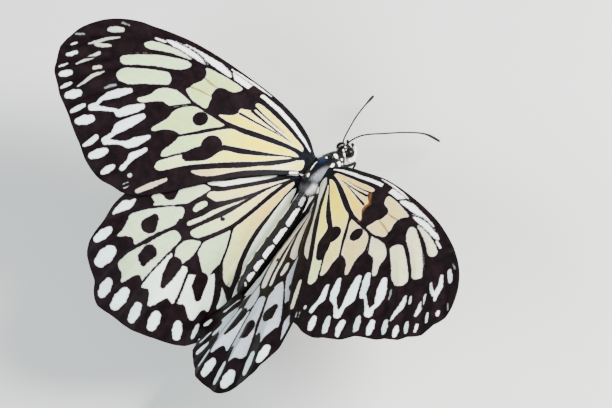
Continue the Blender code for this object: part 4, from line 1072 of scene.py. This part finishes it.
# Compound eye: clear lenses as a fine relief that breaks the shine, over near-black pigment with
# slightly browner blotches.
def eye_material():
    made, tree, skin = new_material("compound eye")
    place = add_node(tree, "TexCoord").outputs["Object"]
    lens = add_node(tree, "TexVoronoi", Vector=place, Scale=26000.0)
    blotch = add_node(tree, "TexNoise", Vector=place, Scale=1500.0, Detail=3.0)
    colour = add_node(tree, "ValToRGB", Fac=blotch)
    for stop, at, shade in zip(colour.color_ramp.elements, (0.42, 0.75), ("#060507", "#120C0B")):
        stop.position, stop.color = at, (*srgb(shade), 1)
    relief = add_node(tree, "Bump", Strength=0.3, Distance=0.00001, Height=lens)
    feed(skin, Base_Color=colour, Normal=relief, Roughness=0.27, Specular_IOR_Level=0.14)
    return made


COMPOUND_EYE = eye_material()
for side, word in SIDES:
    eye = ball_mesh("compound_eye_" + word, (EYE_CENTRE[0], EYE_CENTRE[1] * side, EYE_CENTRE[2]), EYE)
    eye.data.materials.append(COMPOUND_EYE)
    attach(eye, "root")
    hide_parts("eye_" + word)

# The palps. Two short jointed feelers of the mouth, thick with white scales and hair, that curve
# up in front of the face and end in a thin dark point.
PALP = [
    (6.6, 0.75, -5.0, 0.4), (6.2, 1.15, -6.0, 0.44), (6.9, 1.5, -6.35, 0.52), (8.1, 1.45, -5.95, 0.54),
    (9.4, 1.15, -4.8, 0.47), (9.8, 0.9, -3.5, 0.35), (9.9, 0.8, -2.8, 0.22),
]


# A direction that no limb runs along, from which its sides are counted, and one for steep limbs
SLANT, LEVEL = (0.31, 0.2, 0.93), (0.95, 0.3, 0.1)


def limb_mesh(name, line, along, around, swell=None, floor_at=None):
    """A round limb along a path of (forward, left, up, radius) with closed, rounded ends.

    The section turns with the path: side = path direction x SLANT, other = direction x side.
    swell(share along, angle) multiplies the radius. Nothing goes below floor_at. Each point's
    share along the limb is returned with the mesh.
    """
    path = curve(line, along)
    run = np.gradient(path[:, :3], axis=0)
    run /= np.linalg.norm(run, axis=1)[:, None]
    side = np.cross(run, SLANT if abs(np.mean(run[:, 2])) < 0.75 else LEVEL)
    side /= np.linalg.norm(side, axis=1)[:, None]
    other = np.cross(run, side)
    gone = np.r_[0, np.cumsum(np.linalg.norm(np.diff(path[:, :3], axis=0), axis=1))]
    near_end = np.minimum(gone, gone[-1] - gone)
    radius = path[:, 3] * np.sqrt(np.clip(1 - (1 - np.clip(near_end / path[:, 3], 0, 1)) ** 2, 0, 1))
    share = gone / gone[-1]
    turn = np.linspace(0, 2 * math.pi, around, endpoint=False)
    size = radius[:, None] * (swell(share[:, None], turn[None, :]) if swell else 1.0)
    spots = path[:, None, :3] + size[..., None] * (side[:, None] * np.cos(turn)[None, :, None]
                                                   + other[:, None] * np.sin(turn)[None, :, None])
    if floor_at is not None:
        spots[..., 2] = np.maximum(spots[..., 2], floor_at)
    made = mesh_piece(name, to_row(spots.reshape(-1, 3)), ring_quads(along, around))
    return made, np.repeat(share, around)


def limb_hair(name, line, count, length, width, colour, seed, lean):
    """Short hairs all along a limb, leaning to its tip, coloured by colour(share along)."""
    rng = np.random.default_rng(seed)
    path = curve(line, 200)
    run = np.gradient(path[:, :3], axis=0)
    run /= np.linalg.norm(run, axis=1)[:, None]
    share, turn = rng.uniform(0.03, 0.97, count), rng.uniform(0, 2 * math.pi, count)
    pick = (share * 199).astype(int)
    ahead, at = run[pick], path[pick]
    side = np.cross(ahead, SLANT)
    side /= np.linalg.norm(side, axis=1)[:, None]
    out = side * np.cos(turn)[:, None] + np.cross(ahead, side) * np.sin(turn)[:, None]
    root = at[:, :3] + out * at[:, 3:4] * 0.9
    grow = out * (1 - lean) + ahead * lean + rng.normal(0, 0.12, (count, 3))
    grow /= np.linalg.norm(grow, axis=1)[:, None]
    long = length * rng.uniform(0.7, 1.2, count)[:, None]
    spine = root[:, None] + grow[:, None] * (long * np.linspace(0, 1, 4))[..., None]
    across = np.cross(grow, out)
    across /= np.linalg.norm(across, axis=1)[:, None]
    shade = colour(share) * rng.uniform(0.85, 1.1, count)[:, None]
    home = np.stack([turn / (2 * math.pi), share], -1)
    made = hair_piece(name, spine, across, np.cross(grow, across), width, shade, home)
    made.data.materials.append(HAIR)
    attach(made, "root")
    return made


def palp_tone(share):
    """White scales, turning black over the last joint."""
    return blend("#F1F0EA", "#15151A", smooth_step(share, 0.80, 0.9))


PALP_SKIN = body_material("white scales of the palp", 0.5, 4200.0)
for side, word in SIDES:
    line = [(x, y * side, z, r) for x, y, z, r in PALP]
    palp, share = limb_mesh("scaled_palp_" + word, line, 90, 32)
    tone = palp_tone(share)
    set_colours(palp, np.full(len(share), 1.0), tone, tone)
    weld(palp)
    palp.data.materials.append(PALP_SKIN)
    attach(palp, "root")
    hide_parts("palp_" + word)
    fur = limb_hair("palp_hair_" + word, line, 700, length=0.3, width=0.03, colour=palp_tone,
                    seed=21 + side, lean=0.75)

# The tongue. A hollow tube of two half pipes zipped together, coiled flat like a watch spring
# between the palps.
# Centre (forward, up), turns, degrees at the start, outer radius and what it loses inward
COIL_CENTRE, COIL_TURNS, COIL_START, COIL_OUTER, COIL_LOSS = (8.6, -6.6), 1.2, 100, 1.25, 0.63
coil_share = np.linspace(0, 1, 40)
coil_angle = np.radians(COIL_START) - coil_share * COIL_TURNS * 2 * math.pi
coil_radius = COIL_OUTER - COIL_LOSS * coil_share
COIL = np.stack([COIL_CENTRE[0] + coil_radius * np.cos(coil_angle), 0 * coil_share,
                 COIL_CENTRE[1] + coil_radius * np.sin(coil_angle), 0.22 - 0.06 * coil_share], -1)
COIL = np.vstack([[(7.9, 0.0, -4.4, 0.3)], COIL])


def bare_shell(item, shade):
    """One ground colour all over and no pale scales: every point lies 1 mm outside them."""
    colour = np.tile(srgb(shade), (len(item.data.vertices), 1))
    set_colours(item, np.full(len(colour), -1.0), colour, colour)


tongue, share = limb_mesh("coiled_tongue", COIL, 260, 20,
                          lambda s, t: 1 + 0.04 * np.cos(s * 900) - 0.1 * np.cos(2 * t))
bare_shell(tongue, "#1C1411")
weld(tongue)
tongue.data.materials.append(body_material("brown-black tongue", 0.3, 5000.0))
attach(tongue, "root")
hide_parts("proboscis")

# The antennae. Chains of about forty short segments of black chitin, thin as thread and a little
# thicker towards the end, bare and slightly shiny.
FEELER_LINE = {
    1: [(8.0, 0.4, -2.9), (8.8, 0.8, -2.0), (10.1, 1.4, -2.0), (13.1, 3.3, -4.1), (16.5, 5.7, -7.2),
        (20.0, 8.1, -11.0), (23.5, 10.5, -15.2)],
    -1: [(8.0, -0.4, -2.9), (9.0, -0.5, -2.0), (10.8, -1.0, -1.8), (13.5, -2.9, -2.1),
         (16.9, -6.1, -4.4), (20.1, -8.7, -7.4), (22.7, -11.3, -10.8), (23.5, -13.9, -14.3)],
}
# Radii of the thread, of its thickest place and of its tip, and how many segments it has
FEELER, CLUB, FEELER_TIP, SEGMENTS = 0.2, 0.36, 0.16, 42
LIMB_SHELL = body_material("black limb shell", 0.36, 5200.0)
for side, word in SIDES:
    path = curve(FEELER_LINE[side], 60)
    far = np.linspace(0, 1, 60)
    line = np.c_[path, FEELER + (CLUB - FEELER) * np.exp(-((far - 0.93) / 0.1) ** 2)]
    line[-1, 3] = FEELER_TIP
    feeler, share = limb_mesh("jointed_antenna_" + word, line, 420, 18,
                              lambda s, t: 1 - 0.16 * np.abs(np.sin(s * SEGMENTS * math.pi)) ** 12)
    bare_shell(feeler, "#0C0B0E")
    weld(feeler)
    feeler.data.materials.append(LIMB_SHELL)
    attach(feeler, "root")
    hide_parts("antenna_" + word)

# The abdomen. Telescoping rings of thin chitin, black along the back and below, with a white
# stripe on each side that black lines cut at the joints, and black at the tip.
# Middle line (forward, up), then share along, half width and half height
ABDOMEN_LINE = [
    (-5.2, -0.2), (-9, -1.2), (-12, -1.8), (-15, -2.1), (-18, -2.25), (-21, -2.3), (-24, -2.35),
    (-27, -2.4), (-29.5, -2.5), (-32, -2.8), (-34, -3.15), (-35.8, -3.55), (-36.9, -3.8),
]
ABDOMEN_SIZE = [
    (0.0, 0.0, 0.0), (0.02, 0.9, 1.0), (0.05, 1.3, 1.4), (0.1, 1.6, 1.75), (0.2, 1.8, 1.95),
    (0.4, 1.95, 2.1), (0.6, 2.0, 2.15), (0.78, 1.9, 2.05), (0.9, 1.5, 1.65), (0.96, 0.95, 1.1),
    (1.0, 0.0, 0.0),
]
# Where one ring ends and the next begins, forward
JOINTS = [-7.6, -10.5, -16.2, -21.5, -26.0, -29.7, -32.8, -35.0]
abdomen_far, *abdomen_half = zip(*ABDOMEN_SIZE)
ABDOMEN = [(x, z, w, h) for (x, z, _), w, h in zip(
    curve([(x, z, 0) for x, z in ABDOMEN_LINE], 60),
    *(np.interp(np.linspace(0, 1, 60), abdomen_far, half) for half in abdomen_half))]


def abdomen_marks():
    """White side stripes between the joints, from 26 to 63 degrees off the top, and misty ones below.

    The row next to the back is the shortest, so that black runs into the stripe at each joint.
    """
    marks = []
    for side in (-1, 1):
        for front, back in zip(JOINTS[1:-2], JOINTS[2:-1]):
            for t, ahead, behind in ((35, 1.5, 0.75), (41, 0.95, 0.55), (48, 0.6, 0.5), (55, 0.5, 0.45)):
                marks.append(("white", [(front - ahead, side * t, 0.26), (back + behind, side * t, 0.26)]))
        for t in (38, 47, 56):
            marks.append(("mist", [(-8.1, side * t, 0.3), (-9.9, side * t, 0.3)]))
        marks.append(("ivory", [(-33.4, side * 40, 0.24), (-33.8, side * 54, 0.24)]))
        for front, back in zip(JOINTS[1:-1], JOINTS[2:]):
            marks.append(("mist", [(front - 1.2, side * 128, 0.4), (back + 1.2, side * 128, 0.4)]))
    return marks


def abdomen_relief(x, angle):
    """Each ring swells to its rear edge and steps down 0.1 mm to the next; a fold runs down each side."""
    lift = np.zeros_like(x)
    for front, back in zip(JOINTS[:-1], JOINTS[1:]):
        share = np.clip((front - x) / (front - back), 0, 1)
        swell = 0.09 * share ** 2 * (1 - smooth_step(share, 0.93, 1))
        lift += np.where((x <= front) & (x > back), swell, 0)
    side_fold = 0.07 * np.exp(-((np.abs(angle) - 100) / 7) ** 2)
    return lift - side_fold


def abdomen_ground(x, angle):
    """Brown-black, a little paler on the back."""
    return blend("#0A0808", "#151315", np.exp(-(angle / 40) ** 2))


def abdomen_tone(x, angle):
    """Brown-black hair, grey on the first rings."""
    return blend("#0F0D0E", "#8A8F96", 0.9 * smooth_step(x, -11.5, -8.5))


ABDOMEN_MARKS = abdomen_marks()
abdomen = ring_body("ringed_abdomen", ABDOMEN, ABDOMEN_MARKS, 420, 150, abdomen_relief, abdomen_ground)
abdomen.data.materials.append(body_material("scaled abdomen rings", 0.45, 3600.0))
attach(abdomen, "root")
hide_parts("abdomen")
roots = scatter(5200, (-36.4, -6.2), (-180, 180), seed=15,
                keep=lambda x, angle: 0.45 + 0.55 * smooth_step(x, -12, -9))
coat = hair_coat("abdomen_hair", ABDOMEN, roots, length=0.42, width=0.026, lean=0.88, droop=0.1,
                 marks=ABDOMEN_MARKS, dark=abdomen_tone, blow=0.12, seed=16)
coat.data.materials.append(HAIR)
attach(coat, "root")

# The legs. Jointed tubes of black chitin. The front pair is shrunken and held folded under the
# head; the other four carry the insect on five short foot joints that end in two claws.
# Radii of thigh, shin and foot, and the height of the foot's middle line over the floor
FEMUR, TIBIA, TARSUS, SOLE = 0.38, 0.27, 0.22, 0.17
FORELEG = [
    (3.4, 1.1, -3.6, 0.5), (4.6, 1.9, -5.2, 0.42), (5.9, 2.1, -6.6, 0.36), (6.9, 2.1, -7.3, 0.3),
    (6.0, 2.1, -8.0, 0.26), (4.6, 2.0, -8.4, 0.22), (3.5, 1.95, -8.6, 0.17),
]
MIDLEG = [
    (0.3, 1.4, -3.8, 0.6), (0.7, 3.0, -5.6, FEMUR), (1.2, 5.8, -5.7, FEMUR), (1.6, 8.4, -5.6, 0.34),
    (1.6, 9.6, -7.2, TIBIA), (1.0, 12.0, -15.4, TIBIA), (0.8, 12.8, -18.7, TARSUS),
    (1.2, 13.4, SOLE - STANCE, TARSUS), (2.2, 14.6, SOLE - STANCE, TARSUS),
    (3.2, 15.8, SOLE - STANCE, 0.18),
]
HINDLEG = [
    (-3.4, 1.3, -3.6, 0.6), (-4.6, 3.0, -5.4, FEMUR), (-7.2, 6.3, -5.2, FEMUR), (-10.2, 9.6, -4.9, 0.34),
    (-12.0, 10.3, -6.6, TIBIA), (-20.0, 11.6, -16.4, TIBIA), (-22.0, 12.0, -18.9, TARSUS),
    (-23.0, 12.3, SOLE - STANCE, TARSUS), (-25.0, 13.0, SOLE - STANCE, TARSUS),
    (-27.0, 13.8, SOLE - STANCE, 0.18),
]


def straight_limb(line, rounding=0.5):
    """The same line with straight runs between bends, as stiff joints have."""
    out = []
    for k, point in enumerate(line):
        here = np.array(point, float)
        for other in (line[k - 1] if k else None, line[k + 1] if k + 1 < len(line) else None):
            if other is None:
                continue
            span = np.array(other, float) - here
            step = min(rounding / max(np.linalg.norm(span[:3]), 1e-6), 0.45)
            out.append(here + span * step)
        if len(out) >= 2 and 0 < k < len(line) - 1:
            out.insert(-1, here * 0.5 + (out[-1] + out[-2]) * 0.25)
    return np.array([np.array(line[0], float)] + out + [np.array(line[-1], float)])


def foot_joints(share, angle):
    """Five waists of up to a fifth of the radius along the foot, which is the last 22% of the leg."""
    waist = np.abs(np.sin((share - 0.78) / 0.22 * 5 * math.pi)) ** 14
    return 1 - 0.2 * smooth_step(share, 0.78, 0.8) * waist


for side, word in SIDES:
    for name, legs in (("foreleg", FORELEG), ("midleg", MIDLEG), ("hindleg", HINDLEG)):
        line = straight_limb([(x, y * side, z, r) for x, y, z, r in legs])
        leg, share = limb_mesh("jointed_%s_%s" % (name, word), line, 300, 20, foot_joints, -STANCE)
        bare_shell(leg, "#0B0A0D")
        weld(leg)
        leg.data.materials.append(LIMB_SHELL)
        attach(leg, "root")
        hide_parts("%s_%s" % (name, word))
        bristles = limb_hair("%s_bristles_%s" % (name, word), line[:-6], 420, length=0.34, width=0.022,
                             colour=plain("#131317"), seed=31 + side, lean=0.7)

# The floor, the studio light and the camera. A pale matt sweep, one broad soft light from the
# camera's right and a weaker fill, seen from above and from the insect's right as in the photograph.
FLOOR_HALF, FLOOR_POINTS, FLOOR_DROP = 1.2, 5, 0.0001
step = np.linspace(-1, 1, FLOOR_POINTS) * FLOOR_HALF
floor_spots = np.stack(np.broadcast_arrays(step[:, None], step, -FLOOR_DROP), -1).reshape(-1, 3)
floor = mesh_piece("studio_floor", floor_spots, grid_quads(FLOOR_POINTS, FLOOR_POINTS))
# Matt paper, so that the blacks stay clear of the ground and the shadow is soft
paper, tree, skin = new_material("pale studio paper")
feed(skin, Base_Color=(*srgb("#D9DAD6"), 1.0), Roughness=0.9)
floor.data.materials.append(paper)

world = bpy.data.worlds.new("studio")
bpy.context.scene.world = world
world.use_nodes = True
feed(world.node_tree.nodes["Background"], Color=(0.86, 0.92, 1.0, 1.0), Strength=0.55)


def soft_light(name, place, aim, size, power, colour):
    """A round lamp of this diameter in metres and power in watts, aimed at a point."""
    lamp = bpy.data.lights.new(name, "AREA")
    lamp.shape, lamp.size, lamp.energy, lamp.color = "DISK", size, power, colour
    made = bpy.data.objects.new(name, lamp)
    made.location = place
    made.rotation_mode = "QUATERNION"
    made.rotation_quaternion = (Vector(aim) - Vector(place)).to_track_quat("-Z", "Y")
    bpy.context.scene.collection.objects.link(made)
    return made


def direction(theta, phi, roll):
    """Rows right, up and towards the camera in body axes, from tilts about the body's axes."""
    def turn(axis, degrees):
        return np.array(Matrix.Rotation(math.radians(degrees), 3, axis))
    base = np.array([[0, -1, 0], [1, 0, 0], [0, 0, 1]], float)
    return turn("Z", roll) @ base @ turn("X", theta) @ turn("Y", phi)


# Fitted to the photograph: three tilts, pixels to the millimetre, and mm from the zero point to
# the middle of the picture
VIEW = direction(-33.0, 3.0, -35.1)
PHOTO_WIDTH = 612
PIXELS_PER_MM = 4.06
LENS = 600.0
SENSOR = 36.0
FRAME_OFFSET = (-3.62, -8.37)
right, upward, toward = (np.array([v[1], -v[0], v[2]]) for v in VIEW)
target = to_row(np.zeros(3)) + (right * FRAME_OFFSET[0] + upward * FRAME_OFFSET[1]) * MM
distance = PHOTO_WIDTH / PIXELS_PER_MM * MM * LENS / SENSOR
camera_data = bpy.data.cameras.new("camera")
camera_data.lens = LENS
camera_data.sensor_width = SENSOR
camera_data.clip_start, camera_data.clip_end = 0.1, 20.0
camera_data.dof.use_dof = False
camera = bpy.data.objects.new("camera", camera_data)
camera_at = target + toward * distance
camera.matrix_world = Matrix([*np.c_[right, upward, toward, camera_at].tolist(), [0, 0, 0, 1]])
bpy.context.scene.collection.objects.link(camera)
bpy.context.scene.camera = camera
centre = Vector(target)
soft_light("key", centre + Vector(right * 0.35 + upward * 0.25 + toward * 0.5), centre,
           0.3, 18.0, (1.0, 0.985, 0.96))
soft_light("fill", centre + Vector(-right * 0.5 - upward * 0.1 + toward * 0.4), centre,
           0.5, 5.0, (0.9, 0.95, 1.0))
